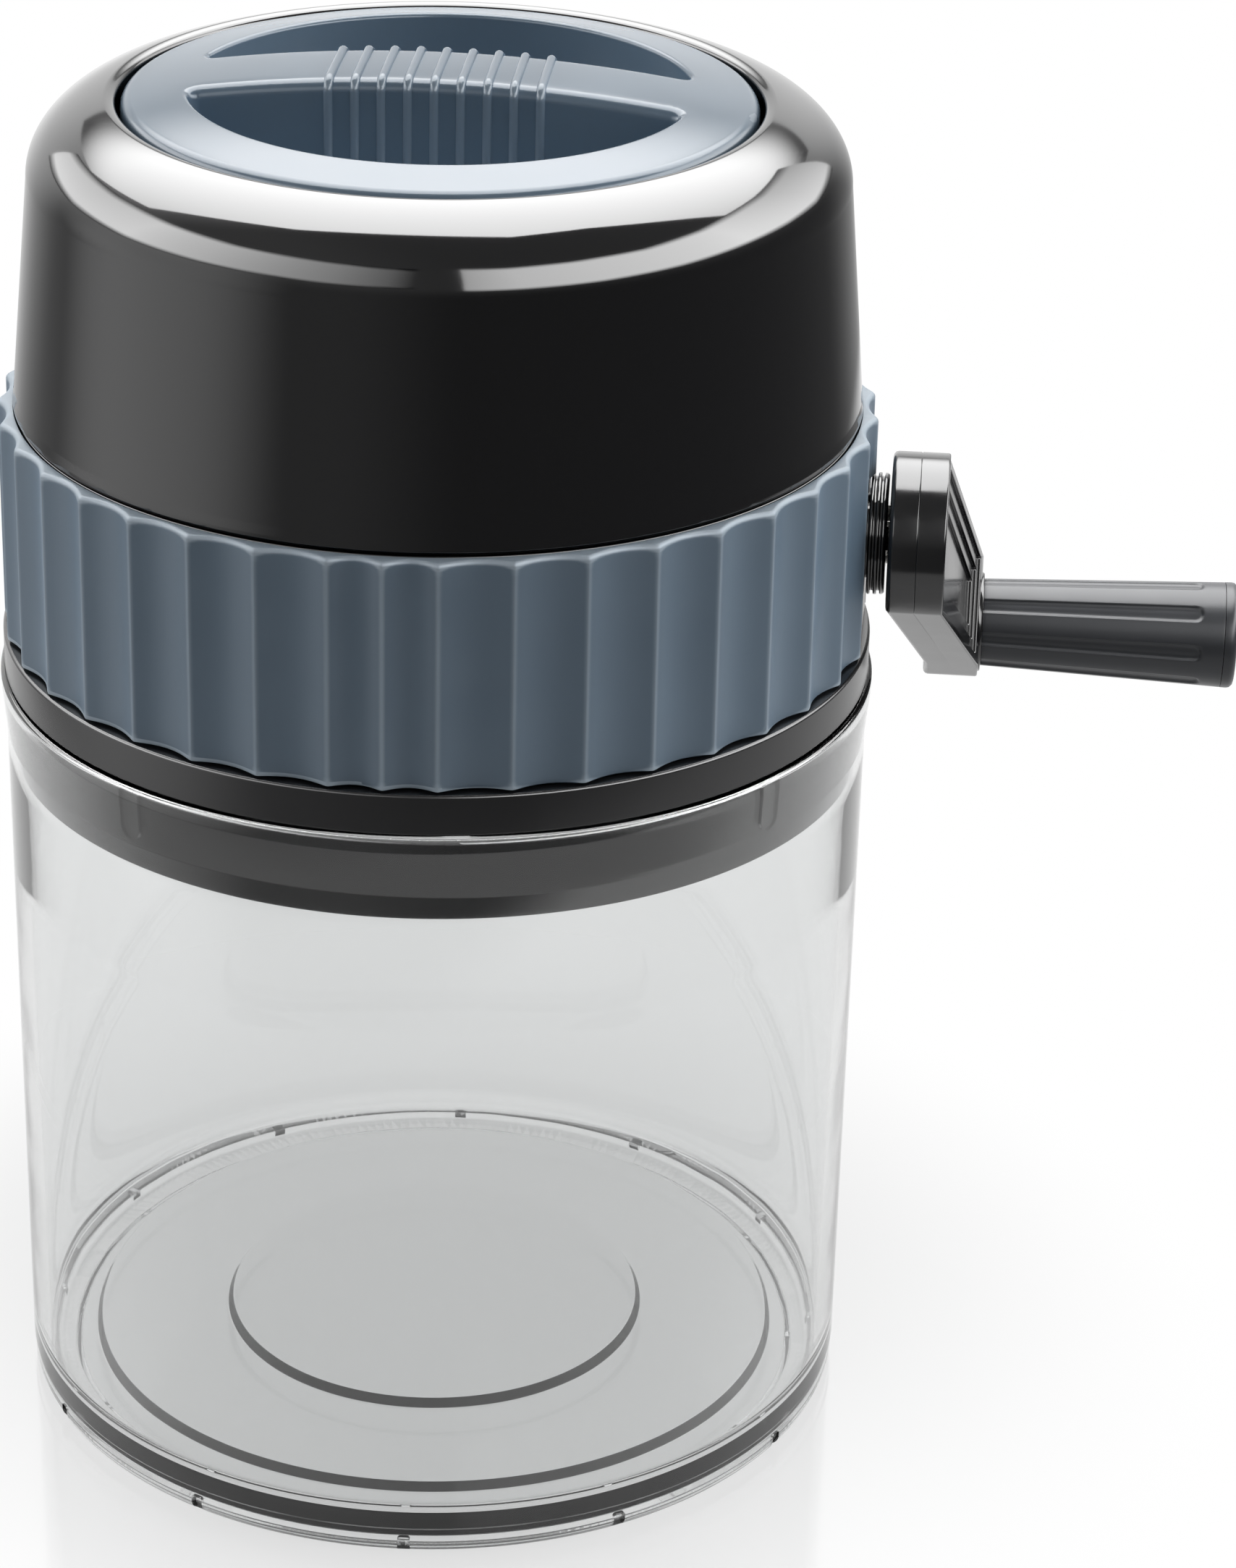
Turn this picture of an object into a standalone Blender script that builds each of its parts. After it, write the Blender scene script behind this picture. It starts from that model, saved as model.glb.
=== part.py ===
"""Hand cranked ice crusher: clear jar, push-on crusher head, side crank and lift-off lid.

The jar axis is Z, the jar stands on z = 0 and the crank axis runs along X.
The front of the object faces -Y.  Lengths are metres, written as counts of MM.
"""
import math

import bmesh
import bpy
from mathutils import Vector

MM = 0.001

# Fits
MESH_GAP = 0.3 * MM
SHAFT_CLEARANCE = 0.3 * MM
SKIRT_CLEARANCE = 0.4 * MM
LID_CLEARANCE = 0.6 * MM
OVERCUT = 1.0 * MM
WELD_DISTANCE = 0.003 * MM

# Facets around round pieces
SHELL_SEGMENTS = 44
HIDDEN_SEGMENTS = 30
SMALL_SEGMENTS = 24
BUSH_SEGMENTS = 16
SCREW_SEGMENTS = 8
HOLE_SEGMENTS = 10
ARC_STEPS = 6
CORNER_STEPS = 2
SMOOTH_ANGLE = math.radians(35)

# Jar
JAR_HEIGHT = 107.9 * MM
JAR_BORE_RADIUS = 57.0 * MM
JAR_LIP_WALL = 2.07 * MM
JAR_SIDE_PROUD = 1.45 * MM
JAR_FOOT_TAPER = 0.75 * MM
JAR_WALL = 2.0 * MM
JAR_BORE_DEPTH = 14.0 * MM
JAR_LIP_DEPTH = 9.5 * MM
JAR_LIP_ROUNDING = 0.9 * MM
JAR_FLOOR = 5.0 * MM
JAR_FLOOR_STEP = 1.0 * MM
JAR_FLOOR_STEP_INSETS = (8.7 * MM, 27.7 * MM)
JAR_INNER_CORNER = 4.5 * MM
JAR_OUTER_CORNER = 2.2 * MM
FOOT_WIDTH = 3.4 * MM
FOOT_RECESS = 0.8 * MM
FOOT_NOTCH_COUNT = 12
FOOT_NOTCH_WIDTH = 1.7 * MM
FOOT_NOTCH_HEIGHT = 2.8 * MM
FOOT_NOTCH_DEPTH = 1.0 * MM
FOOT_NOTCH_TURN = math.radians(2.8)

# Guide keys that stop the head from turning on the jar
KEY_COUNT = 8
KEY_TURN = math.radians(9.3)
KEY_WIDTH = 2.6 * MM
KEY_HEIGHT = 6.2 * MM
KEY_RISE = 0.6 * MM

# Lower housing
SKIRT_DEPTH = 12.0 * MM
SKIRT_WALL = 2.0 * MM
BAND_PROUD = 1.5 * MM
BAND_HEIGHT = 5.64 * MM
HOUSING_INSET = 2.6 * MM
HOUSING_WALL = 1.6 * MM
HOUSING_HEIGHT = 31.06 * MM
LEDGE_WIDTH = 8.9 * MM
LEDGE_THICKNESS = 2.8 * MM
LEDGE_DROP = 2.04 * MM
SHAFT_PAD_SETBACK = 0.8 * MM

# Dome
DOME_FOOT_PROUD = 0.45 * MM
DOME_FOOT_BEAD = 1.2 * MM
DOME_WALL_PROUD = 0.1 * MM
DOME_WALL_HEIGHT = 30.58 * MM
DOME_WALL_TAPER = 2.47 * MM
DOME_SHOULDER_RISE = 10.72 * MM
DOME_SHOULDER_REACH = 14.13 * MM
DOME_OPENING_INSET = 11.73 * MM
DOME_EDGE_DROP = 1.2 * MM
DOME_COLLAR_DEPTH = 4.3 * MM
DOME_WALL = 2.2 * MM
DOME_SHOULDER_STEPS = 7
DOME_SPIGOT_DEPTH = 5.0 * MM
DOME_SPIGOT_WALL = 1.6 * MM

# Grip ring
RING_THICKNESS = 2.4 * MM
RING_FLUTE_DEPTH = 1.2 * MM
RING_FLUTES_PER_SIDE = 18
RING_FLUTE_POINTS = 4
RING_NARROW_TURN = math.radians(6.8)
RING_TOP_ROUNDING = 0.65 * MM
RING_NOTCH_CLEARANCE = 0.45 * MM

# Crusher body, a chute on a round deck
DECK_THICKNESS = 2.5 * MM
DECK_RADIAL_GAP = 0.6 * MM
CHUTE_LENGTH = 62.0 * MM
CHUTE_WIDTH = 48.0 * MM
CHUTE_WALL = 2.5 * MM
CHUTE_CORNER = 5.0 * MM
CHUTE_RISE = 5.1 * MM
CHUTE_DROP = 7.8 * MM
DECK_SCREW_INSET = 5.6 * MM
DECK_SCREW_COUNT = 3
DECK_SCREW_TURN = math.radians(98)
DECK_BOSS_RADIUS = 3.5 * MM
DECK_BOSS_LENGTH = 8.0 * MM

# Hopper
HOPPER_WALL = 2.0 * MM
HOPPER_RIM_DROP = 3.9 * MM
HOPPER_RIM_HEIGHT = 9.0 * MM
HOPPER_RIM_INSET = 0.5 * MM

# Screws
SCREW_RADIUS = 1.5 * MM
SCREW_HEAD_RADIUS = 2.8 * MM
SCREW_HEAD_HEIGHT = 1.8 * MM
SCREW_LENGTH = 6.5 * MM
COMB_SCREW_SPACING = 33.0 * MM
COMB_SCREW_RISE = 6.0 * MM
COMB_SCREW_LENGTH = 5.2 * MM
SCREW_EDGE_SHARE = 0.6
SCREW_TOP_SHARE = 0.55

# Shaft and rotor
SHAFT_RISE = 14.56 * MM
SHAFT_RADIUS = 4.0 * MM
HEX_CORNER_RADIUS = 4.0 * MM
BLADE_COUNT = 5
BLADE_PITCH = 11.0 * MM
BLADE_THICKNESS = 2.0 * MM
BLADE_TIP_RADIUS = 17.0 * MM
BLADE_ROOT_RADIUS = 9.0 * MM
BLADE_TEETH = 3
BLADE_POINTS_PER_TOOTH = 9
BLADE_HOOK_SHARE = 0.12
BLADE_STAGGER = math.radians(24)
SPACER_RADIUS = 7.0 * MM
BUSH_RADIUS = 5.7 * MM
BUSH_FLANGE_RADIUS = 8.0 * MM
BUSH_FLANGE_THICKNESS = 1.5 * MM
CLIP_RADIUS = 6.2 * MM
CLIP_THICKNESS = 0.9 * MM
SHAFT_END_MARGIN = 1.6 * MM

# Combs
COMB_THICKNESS = 2.0 * MM
COMB_FLANGE_THICKNESS = 1.5 * MM
COMB_FLANGE_HEIGHT = 18.0 * MM
COMB_DROP = 4.4 * MM
COMB_TIP = 8.6 * MM
COARSE_SIDE_GAP = 2.0 * MM
FINE_SIDE_GAP = 1.0 * MM

# Crank
COLLAR_RADIUS = 8.15 * MM
COLLAR_LENGTH = 2.4 * MM
COLLAR_GROOVE = 0.5 * MM
COLLAR_GROOVE_SHARES = (0.2, 0.28, 0.36, 0.44, 0.6, 0.72)
COLLAR_SPIGOT_RADIUS = 6.0 * MM
COLLAR_SPIGOT_LENGTH = 5.0 * MM
HUB_RADIUS = 11.1 * MM
HUB_LENGTH = 7.6 * MM
HUB_SOCKET_DEPTH = 4.8 * MM
CRANK_THROW = 35.0 * MM
CRANK_REST_ANGLE = math.radians(41.6)
ARM_END_RADIUS = 7.7 * MM
ARM_END_SWEEP = 85
ARM_END_STEPS = 10
HUB_STEPS = 14
ARM_OFFSET = 5.3 * MM
ARM_LEAN_LENGTH = 30.0 * MM
ARM_RIM_WIDTH = 1.3 * MM
ARM_STEP_COUNT = 3
ARM_STEP_INSET = 1.9 * MM
ARM_STEP_DEPTH = 0.45 * MM
ARM_STEP_START = 0.4 * MM
ARM_STEP_END = 27.8 * MM
ARM_STEP_SHIFT = 0.5 * MM
GRIP_SEAT_RADIUS = 6.9 * MM
GRIP_SEAT_RISE = 0.3 * MM
GRIP_SEAT_DEPTH = 2.0 * MM

# Grip
GRIP_LENGTH = 35.1 * MM
GRIP_ROOT_RADIUS = 6.1 * MM
GRIP_END_RADIUS = 7.4 * MM
GRIP_BORE_RADIUS = 3.0 * MM
GRIP_PANELS = 8
GRIP_PANEL_DEPTH = 0.35 * MM
GRIP_PANEL_SHARE = 0.46
GRIP_PANEL_EDGE = 0.04
GRIP_PANEL_END = 4.8 * MM
GRIP_CAP_THICKNESS = 1.6 * MM
GRIP_CAP_ROUNDING = 1.1 * MM
GRIP_CAP_PLUG = 2.5 * MM
AXLE_RADIUS = 2.5 * MM
AXLE_HOLD = 6.0 * MM
AXLE_HEAD_ROOM = 1.0 * MM

# Lid
LID_EDGE_HEIGHT = 2.9 * MM
LID_RIM_INSET = 8.2 * MM
LID_RIM_RISE = 0.9 * MM
LID_CROWN_RISE = 3.5 * MM
LID_EDGE_ROUNDING = 1.6 * MM
LID_EDGE_SWEEP = 22
LID_PLUG_CLEARANCE = 0.7 * MM
LID_PLUG_DEPTH = 7.2 * MM
LID_POCKET_INSET = 0.2 * MM
LID_POCKET_DEPTH = 4.6 * MM
LID_POCKET_STEPS = 14
LID_BAR_WIDTH = 15.0 * MM
LID_BAR_ROUNDING = 1.6 * MM
LID_RIB_COUNT = 9
LID_RIB_PITCH = 3.4 * MM
LID_RIB_WIDTH = 1.2 * MM
LID_RIB_RISE = 0.6 * MM
LID_PLATE_THICKNESS = 2.2 * MM
LID_PLATE_INSET = 2.0 * MM
LID_PLATE_RIB_INSET = 8.6 * MM
LID_PLATE_RIB_WIDTH = 1.6 * MM
LID_PLATE_RIB_HEIGHT = 3.0 * MM

# Radii worked out from the jar's bore, each outwards or inwards from its neighbour
JAR_LIP_RADIUS = JAR_BORE_RADIUS + JAR_LIP_WALL
JAR_WALL_RADIUS = JAR_BORE_RADIUS + JAR_SIDE_PROUD
JAR_FOOT_RADIUS = JAR_WALL_RADIUS - JAR_FOOT_TAPER
SKIRT_RADIUS = JAR_BORE_RADIUS - SKIRT_CLEARANCE
BAND_RADIUS = JAR_BORE_RADIUS + BAND_PROUD
HOUSING_RADIUS = BAND_RADIUS - HOUSING_INSET
LEDGE_INNER_RADIUS = HOUSING_RADIUS - LEDGE_WIDTH
DECK_RADIUS = HOUSING_RADIUS - HOUSING_WALL - DECK_RADIAL_GAP
DECK_SCREW_CIRCLE = HOUSING_RADIUS - DECK_SCREW_INSET
RING_RIDGE_RADIUS = HOUSING_RADIUS + RING_THICKNESS
SHAFT_PAD_FACE = RING_RIDGE_RADIUS - SHAFT_PAD_SETBACK
DOME_FOOT_RADIUS = HOUSING_RADIUS + DOME_FOOT_PROUD
DOME_WALL_RADIUS = HOUSING_RADIUS + DOME_WALL_PROUD
DOME_SHOULDER_RADIUS = DOME_WALL_RADIUS - DOME_WALL_TAPER
DOME_OPENING_RADIUS = DOME_SHOULDER_RADIUS - DOME_OPENING_INSET
HOPPER_RIM_RADIUS = DOME_OPENING_RADIUS - HOPPER_RIM_INSET
LID_RADIUS = DOME_OPENING_RADIUS - LID_CLEARANCE
LID_RIM_RADIUS = LID_RADIUS - LID_RIM_INSET
LID_POCKET_RADIUS = LID_RIM_RADIUS - LID_POCKET_INSET
LID_PLUG_RADIUS = HOPPER_RIM_RADIUS - HOPPER_WALL - LID_PLUG_CLEARANCE
LID_PLATE_RIB_RADIUS = LID_PLUG_RADIUS - LID_PLATE_RIB_INSET

# Heights worked out from the jar's height, each upwards or downwards from its neighbour
HEAD_FOOT = JAR_HEIGHT + MESH_GAP
SKIRT_BOTTOM = JAR_HEIGHT - SKIRT_DEPTH
BAND_TOP = HEAD_FOOT + BAND_HEIGHT
HOUSING_TOP = BAND_TOP + HOUSING_HEIGHT
LEDGE_TOP = BAND_TOP - LEDGE_DROP
DECK_BOTTOM = LEDGE_TOP + MESH_GAP
DECK_TOP = DECK_BOTTOM + DECK_THICKNESS
CHUTE_TOP = HOUSING_TOP + CHUTE_RISE
CHUTE_BOTTOM = LEDGE_TOP - CHUTE_DROP
SHAFT_HEIGHT = BAND_TOP + SHAFT_RISE
DOME_BOTTOM = HOUSING_TOP + MESH_GAP
DOME_SHOULDER_HEIGHT = DOME_BOTTOM + DOME_WALL_HEIGHT
DOME_TOP = DOME_SHOULDER_HEIGHT + DOME_SHOULDER_RISE
HOPPER_RIM_TOP = DOME_TOP - HOPPER_RIM_DROP
LID_SEAT = HOPPER_RIM_TOP + MESH_GAP
LID_PLUG_BOTTOM = HOPPER_RIM_TOP - LID_PLUG_DEPTH
LID_POCKET_FLOOR = HOPPER_RIM_TOP - LID_POCKET_DEPTH
LID_RIM_TOP = DOME_TOP + LID_RIM_RISE
LID_CROWN = DOME_TOP + LID_CROWN_RISE

# Other places worked out from the sizes above
CHUTE_END = CHUTE_LENGTH / 2
CHUTE_SIDE = CHUTE_WIDTH / 2
RING_NOTCH_RADIUS = COLLAR_RADIUS + RING_NOTCH_CLEARANCE
SHAFT_PAD_RADIUS = RING_NOTCH_RADIUS - MESH_GAP
HUB_START = SHAFT_PAD_FACE + MESH_GAP + COLLAR_LENGTH + MESH_GAP
HUB_FACE = HUB_START + HUB_LENGTH
GRIP_START = HUB_FACE + ARM_OFFSET + GRIP_SEAT_RISE + MESH_GAP


def clear_scene():
    for obj in list(bpy.data.objects):
        bpy.data.objects.remove(obj, do_unlink=True)


def make_material(name, colour, roughness, metallic=0.0, transmission=0.0):
    material = bpy.data.materials.new(name)
    material.use_nodes = True
    shader = material.node_tree.nodes["Principled BSDF"]
    shader.inputs["Base Color"].default_value = (*colour, 1.0)
    shader.inputs["Roughness"].default_value = roughness
    shader.inputs["Metallic"].default_value = metallic
    shader.inputs["Transmission Weight"].default_value = transmission
    return material


def make_object(name, verts, faces, material, parent=None):
    """Make one object from points and faces, with its faces pointing out."""
    mesh = bpy.data.meshes.new(name)
    mesh.from_pydata([tuple(v) for v in verts], [], faces)
    shape = bmesh.new()
    shape.from_mesh(mesh)
    bmesh.ops.recalc_face_normals(shape, faces=shape.faces)
    shape.to_mesh(mesh)
    shape.free()
    mesh.shade_smooth()
    mesh.set_sharp_from_angle(angle=SMOOTH_ANGLE)
    obj = bpy.data.objects.new(name, mesh)
    bpy.context.scene.collection.objects.link(obj)
    if material:
        mesh.materials.append(material)
    obj.parent = parent
    return obj


def make_pivot(name, location, turn=0.0, parent=None):
    """An empty on a joint axis, which carries the pieces that move about it."""
    pivot = bpy.data.objects.new(name, None)
    bpy.context.scene.collection.objects.link(pivot)
    pivot.location = location
    pivot.rotation_euler = (turn, 0.0, 0.0)
    pivot.parent = parent
    return pivot


def combine(target, tool, operation):
    """Join a tool to a target, or cut the tool out of it, and remove the tool."""
    bpy.context.view_layer.update()
    modifier = target.modifiers.new(operation.lower(), "BOOLEAN")
    modifier.operation = operation
    modifier.object = tool
    modifier.solver = "EXACT"
    graph = bpy.context.evaluated_depsgraph_get()
    result = bpy.data.meshes.new_from_object(target.evaluated_get(graph))
    target.modifiers.remove(modifier)
    old = target.data
    target.data = result
    bpy.data.meshes.remove(old)
    bpy.data.objects.remove(tool, do_unlink=True)
    shape = bmesh.new()
    shape.from_mesh(result)
    bmesh.ops.remove_doubles(shape, verts=shape.verts, dist=WELD_DISTANCE)
    shape.to_mesh(result)
    shape.free()
    result.shade_smooth()
    result.set_sharp_from_angle(angle=SMOOTH_ANGLE)


def cut(target, tool):
    combine(target, tool, "DIFFERENCE")


def join(target, tool):
    combine(target, tool, "UNION")


def along_z(radius, height, angle):
    return Vector((radius * math.cos(angle), radius * math.sin(angle), height))


def along_x(radius, station, angle):
    return Vector((station, radius * math.cos(angle), radius * math.sin(angle)))


def along_y(radius, station, angle):
    return Vector((radius * math.cos(angle), station, radius * math.sin(angle)))


def turned(profile, segments, place=along_z, closed=True):
    """Turn a profile of (radius, station) points about an axis.

    A closed profile makes a ring, an open one starts and ends on the axis.
    """
    verts = []
    rows = []
    for radius, station in profile:
        if radius < 1e-9:
            rows.append([len(verts)] * segments)
            verts.append(place(0.0, station, 0.0))
            continue
        rows.append([len(verts) + k for k in range(segments)])
        verts += [place(radius, station, math.tau * k / segments) for k in range(segments)]
    pairs = list(zip(rows, rows[1:]))
    if closed:
        pairs.append((rows[-1], rows[0]))
    faces = []
    for low, high in pairs:
        for k in range(segments):
            n = (k + 1) % segments
            corners = [low[k], low[n], high[n], high[k]]
            face = list(dict.fromkeys(corners))
            if len(face) > 2:
                faces.append(face)
    return verts, faces


def lofted(rings, closed=False):
    """Skin rings of equal length: a closed loop of rings, or a capped tube."""
    count = len(rings[0])
    verts = [point for ring in rings for point in ring]
    faces = []
    pairs = list(zip(range(len(rings)), range(1, len(rings))))
    if closed:
        pairs.append((len(rings) - 1, 0))
    for low, high in pairs:
        for k in range(count):
            n = (k + 1) % count
            faces.append([low * count + k, low * count + n, high * count + n, high * count + k])
    if not closed:
        last = (len(rings) - 1) * count
        faces.append(list(range(count))[::-1])
        faces.append([last + k for k in range(count)])
    return verts, faces


def prism(outline, start, end, place):
    """Extrude a flat outline; place turns (a, b, station) into a point."""
    return lofted([[place(a, b, s) for a, b in outline] for s in (start, end)])


def upright(a, b, station):
    return Vector((a, b, station))


def crosswise(a, b, station):
    return Vector((station, a, b))


def arc(centre, radii, start, end, steps=ARC_STEPS):
    """Points on an elliptical arc, ends included; angles in degrees."""
    points = []
    for k in range(steps + 1):
        angle = math.radians(start + (end - start) * k / steps)
        points.append((centre[0] + radii[0] * math.cos(angle), centre[1] + radii[1] * math.sin(angle)))
    return points


def round_arc(centre, radius, start, end, steps=ARC_STEPS):
    return arc(centre, (radius, radius), start, end, steps)


def rounded(corners, radius, steps=3):
    """Round the corners of a closed outline."""
    points = []
    count = len(corners)
    for k in range(count):
        here = Vector(corners[k])
        back = (Vector(corners[k - 1]) - here).normalized()
        ahead = (Vector(corners[(k + 1) % count]) - here).normalized()
        half = math.acos(max(-1.0, min(1.0, back.dot(ahead)))) / 2
        reach = radius / math.tan(half)
        middle = here + (back + ahead).normalized() * radius / math.sin(half)
        first = here + back * reach - middle
        last = here + ahead * reach - middle
        for i in range(steps + 1):
            blend = first.lerp(last, i / steps).normalized() * radius
            points.append(tuple(middle + blend))
    return points


def rectangle(length, width, corner, steps=3):
    a = length / 2
    b = width / 2
    return rounded([(a, -b), (a, b), (-a, b), (-a, -b)], corner, steps)


def box(name, low, high, parent=None):
    outline = [(low[0], low[1]), (high[0], low[1]), (high[0], high[1]), (low[0], high[1])]
    verts, faces = prism(outline, low[2], high[2], upright)
    return make_object(name, verts, faces, None, parent)


def cylinder(name, radius, start, end, place, centre=(0.0, 0.0, 0.0), segments=SMALL_SEGMENTS,
             parent=None):
    profile = [(0.0, start), (radius, start), (radius, end), (0.0, end)]
    verts, faces = turned(profile, segments, place, closed=False)
    moved = [v + Vector(centre) for v in verts]
    return make_object(name, moved, faces, None, parent)


def merged(parts):
    """Put several separate solids into one list of points and faces."""
    verts = []
    faces = []
    for part_verts, part_faces in parts:
        shift = len(verts)
        verts += part_verts
        faces += [[shift + k for k in face] for face in part_faces]
    return verts, faces


def screw_solid(length, place):
    profile = [
        (0.0, -length), (SCREW_RADIUS, -length), (SCREW_RADIUS, 0.0),
        (SCREW_HEAD_RADIUS, 0.0), (SCREW_HEAD_RADIUS, SCREW_EDGE_SHARE * SCREW_HEAD_HEIGHT),
        (SCREW_TOP_SHARE * SCREW_HEAD_RADIUS, SCREW_HEAD_HEIGHT), (0.0, SCREW_HEAD_HEIGHT),
    ]
    return turned(profile, SCREW_SEGMENTS, place, closed=False)


def front_angle(turn):
    """Angle from +X of a place that lies a turn away from the front, -Y."""
    return turn - math.pi / 2


def key_cutters(name, radius, reach, width, bottom, top):
    """Round-bottomed upright bars round the jar axis, as one tool."""
    parts = []
    for k in range(KEY_COUNT):
        angle = front_angle(KEY_TURN + math.tau * k / KEY_COUNT)
        out = Vector((math.cos(angle), math.sin(angle), 0.0))
        side = Vector((-math.sin(angle), math.cos(angle), 0.0))
        half = width / 2
        outline = [(half, top), (-half, top)]
        outline += round_arc((0.0, bottom + half), half, 180, 360, 2 * CORNER_STEPS)
        rings = [[out * r + side * a + Vector((0, 0, b)) for a, b in outline] for r in (radius, reach)]
        parts.append(lofted(rings))
    verts, faces = merged(parts)
    return make_object(name, verts, faces, None)


def make_jar(material):
    foot_inner = JAR_FOOT_RADIUS - JAR_OUTER_CORNER - FOOT_WIDTH
    lip_low = JAR_HEIGHT - JAR_LIP_DEPTH
    bore_low = JAR_HEIGHT - JAR_BORE_DEPTH
    inner_top = JAR_WALL_RADIUS - JAR_WALL
    inner_foot = JAR_FOOT_RADIUS - JAR_WALL
    outer = [(0.0, FOOT_RECESS), (foot_inner - FOOT_RECESS, FOOT_RECESS), (foot_inner, 0.0)]
    corner_centre = (JAR_FOOT_RADIUS - JAR_OUTER_CORNER, JAR_OUTER_CORNER)
    outer += round_arc(corner_centre, JAR_OUTER_CORNER, -90, 0, CORNER_STEPS)
    outer += [(JAR_WALL_RADIUS, JAR_HEIGHT / 2), (JAR_WALL_RADIUS, lip_low)]
    lip_centre = JAR_LIP_RADIUS - JAR_LIP_ROUNDING
    outer += [(JAR_LIP_RADIUS, JAR_HEIGHT - JAR_LIP_DEPTH / 2)]
    outer += round_arc((lip_centre, JAR_HEIGHT - JAR_LIP_ROUNDING), JAR_LIP_ROUNDING, 0, 90, CORNER_STEPS)
    inner = [(JAR_BORE_RADIUS, JAR_HEIGHT), (JAR_BORE_RADIUS, bore_low), (inner_top, bore_low - JAR_WALL)]
    inner_centre = (inner_foot - JAR_INNER_CORNER, JAR_FLOOR + JAR_INNER_CORNER)
    inner += round_arc(inner_centre, JAR_INNER_CORNER, 0, -90, CORNER_STEPS)
    level = JAR_FLOOR
    for inset in JAR_FLOOR_STEP_INSETS:
        radius = JAR_FOOT_RADIUS - inset
        inner += [(radius, level), (radius - JAR_FLOOR_STEP, level + JAR_FLOOR_STEP)]
        level += JAR_FLOOR_STEP
    inner.append((0.0, level))
    verts, faces = turned(outer + inner, SHELL_SEGMENTS, along_z, closed=False)
    jar = make_object("jar", verts, faces, material)

    groove_reach = SKIRT_RADIUS + KEY_RISE + SKIRT_CLEARANCE
    groove_width = KEY_WIDTH + 2 * MESH_GAP
    groove_bottom = JAR_HEIGHT - KEY_HEIGHT - groove_width / 2
    cut(jar, key_cutters("grooves", JAR_BORE_RADIUS - OVERCUT, groove_reach, groove_width,
                         groove_bottom, JAR_HEIGHT + OVERCUT))
    notches = []
    for k in range(FOOT_NOTCH_COUNT):
        angle = front_angle(FOOT_NOTCH_TURN + math.tau * k / FOOT_NOTCH_COUNT)
        out = Vector((math.cos(angle), math.sin(angle), 0.0))
        side = Vector((-math.sin(angle), math.cos(angle), 0.0)) * FOOT_NOTCH_WIDTH / 2
        low = Vector((0, 0, -OVERCUT))
        high = Vector((0, 0, FOOT_NOTCH_HEIGHT))
        rings = []
        for radius in (JAR_FOOT_RADIUS - FOOT_NOTCH_DEPTH, JAR_FOOT_RADIUS + OVERCUT):
            middle = out * radius
            left = middle - side
            right = middle + side
            rings.append([left + low, right + low, right + high, left + high])
        notches.append(lofted(rings))
    verts, faces = merged(notches)
    cut(jar, make_object("notches", verts, faces, None))
    return jar


def make_lower_housing(material, head):
    wall_inner = HOUSING_RADIUS - HOUSING_WALL
    skirt_inner = SKIRT_RADIUS - SKIRT_WALL
    profile = [
        (SKIRT_RADIUS, SKIRT_BOTTOM), (SKIRT_RADIUS, HEAD_FOOT), (BAND_RADIUS, HEAD_FOOT),
        (BAND_RADIUS, BAND_TOP), (HOUSING_RADIUS, BAND_TOP), (HOUSING_RADIUS, HOUSING_TOP),
        (wall_inner, HOUSING_TOP), (wall_inner, LEDGE_TOP), (LEDGE_INNER_RADIUS, LEDGE_TOP),
        (LEDGE_INNER_RADIUS, LEDGE_TOP - LEDGE_THICKNESS), (skirt_inner, LEDGE_TOP - LEDGE_THICKNESS),
        (skirt_inner, SKIRT_BOTTOM),
    ]
    verts, faces = turned(profile, SHELL_SEGMENTS)
    housing = make_object("lower_housing", verts, faces, material, head)

    # pad that fills the notch of the grip ring round the shaft
    low = BAND_TOP - MESH_GAP
    outline = [(SHAFT_PAD_RADIUS, low), (-SHAFT_PAD_RADIUS, low)]
    outline = outline[::-1] + round_arc((0.0, SHAFT_HEIGHT), SHAFT_PAD_RADIUS, 0, 180, 2 * ARC_STEPS)
    verts, faces = prism(outline, wall_inner + HOUSING_WALL / 2, SHAFT_PAD_FACE, crosswise)
    join(housing, make_object("pad", verts, faces, None))

    boss_low = LEDGE_TOP - DECK_BOSS_LENGTH
    for spot in deck_screw_spots():
        join(housing, cylinder("boss", DECK_BOSS_RADIUS, boss_low, LEDGE_TOP - MESH_GAP, along_z, spot,
                               BUSH_SEGMENTS))
    keys = key_cutters("keys", SKIRT_RADIUS - SKIRT_WALL / 2, SKIRT_RADIUS + KEY_RISE, KEY_WIDTH,
                       JAR_HEIGHT - KEY_HEIGHT - KEY_WIDTH / 2 + MESH_GAP, HEAD_FOOT + MESH_GAP)
    join(housing, keys)
    for spot in deck_screw_spots():
        hole = SCREW_RADIUS + MESH_GAP
        low = LEDGE_TOP - SCREW_LENGTH
        cut(housing, cylinder("hole", hole, low, LEDGE_TOP + OVERCUT, along_z, spot, HOLE_SEGMENTS))
    bore = COLLAR_SPIGOT_RADIUS + MESH_GAP
    cut(housing, cylinder("bore", bore, wall_inner - 3 * OVERCUT, SHAFT_PAD_FACE + OVERCUT, along_x,
                          (0, 0, SHAFT_HEIGHT)))
    return housing


def deck_screw_spots():
    spots = []
    for k in range(DECK_SCREW_COUNT):
        angle = DECK_SCREW_TURN + math.tau * k / DECK_SCREW_COUNT
        spots.append(along_z(DECK_SCREW_CIRCLE, 0.0, angle))
    return spots


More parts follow.
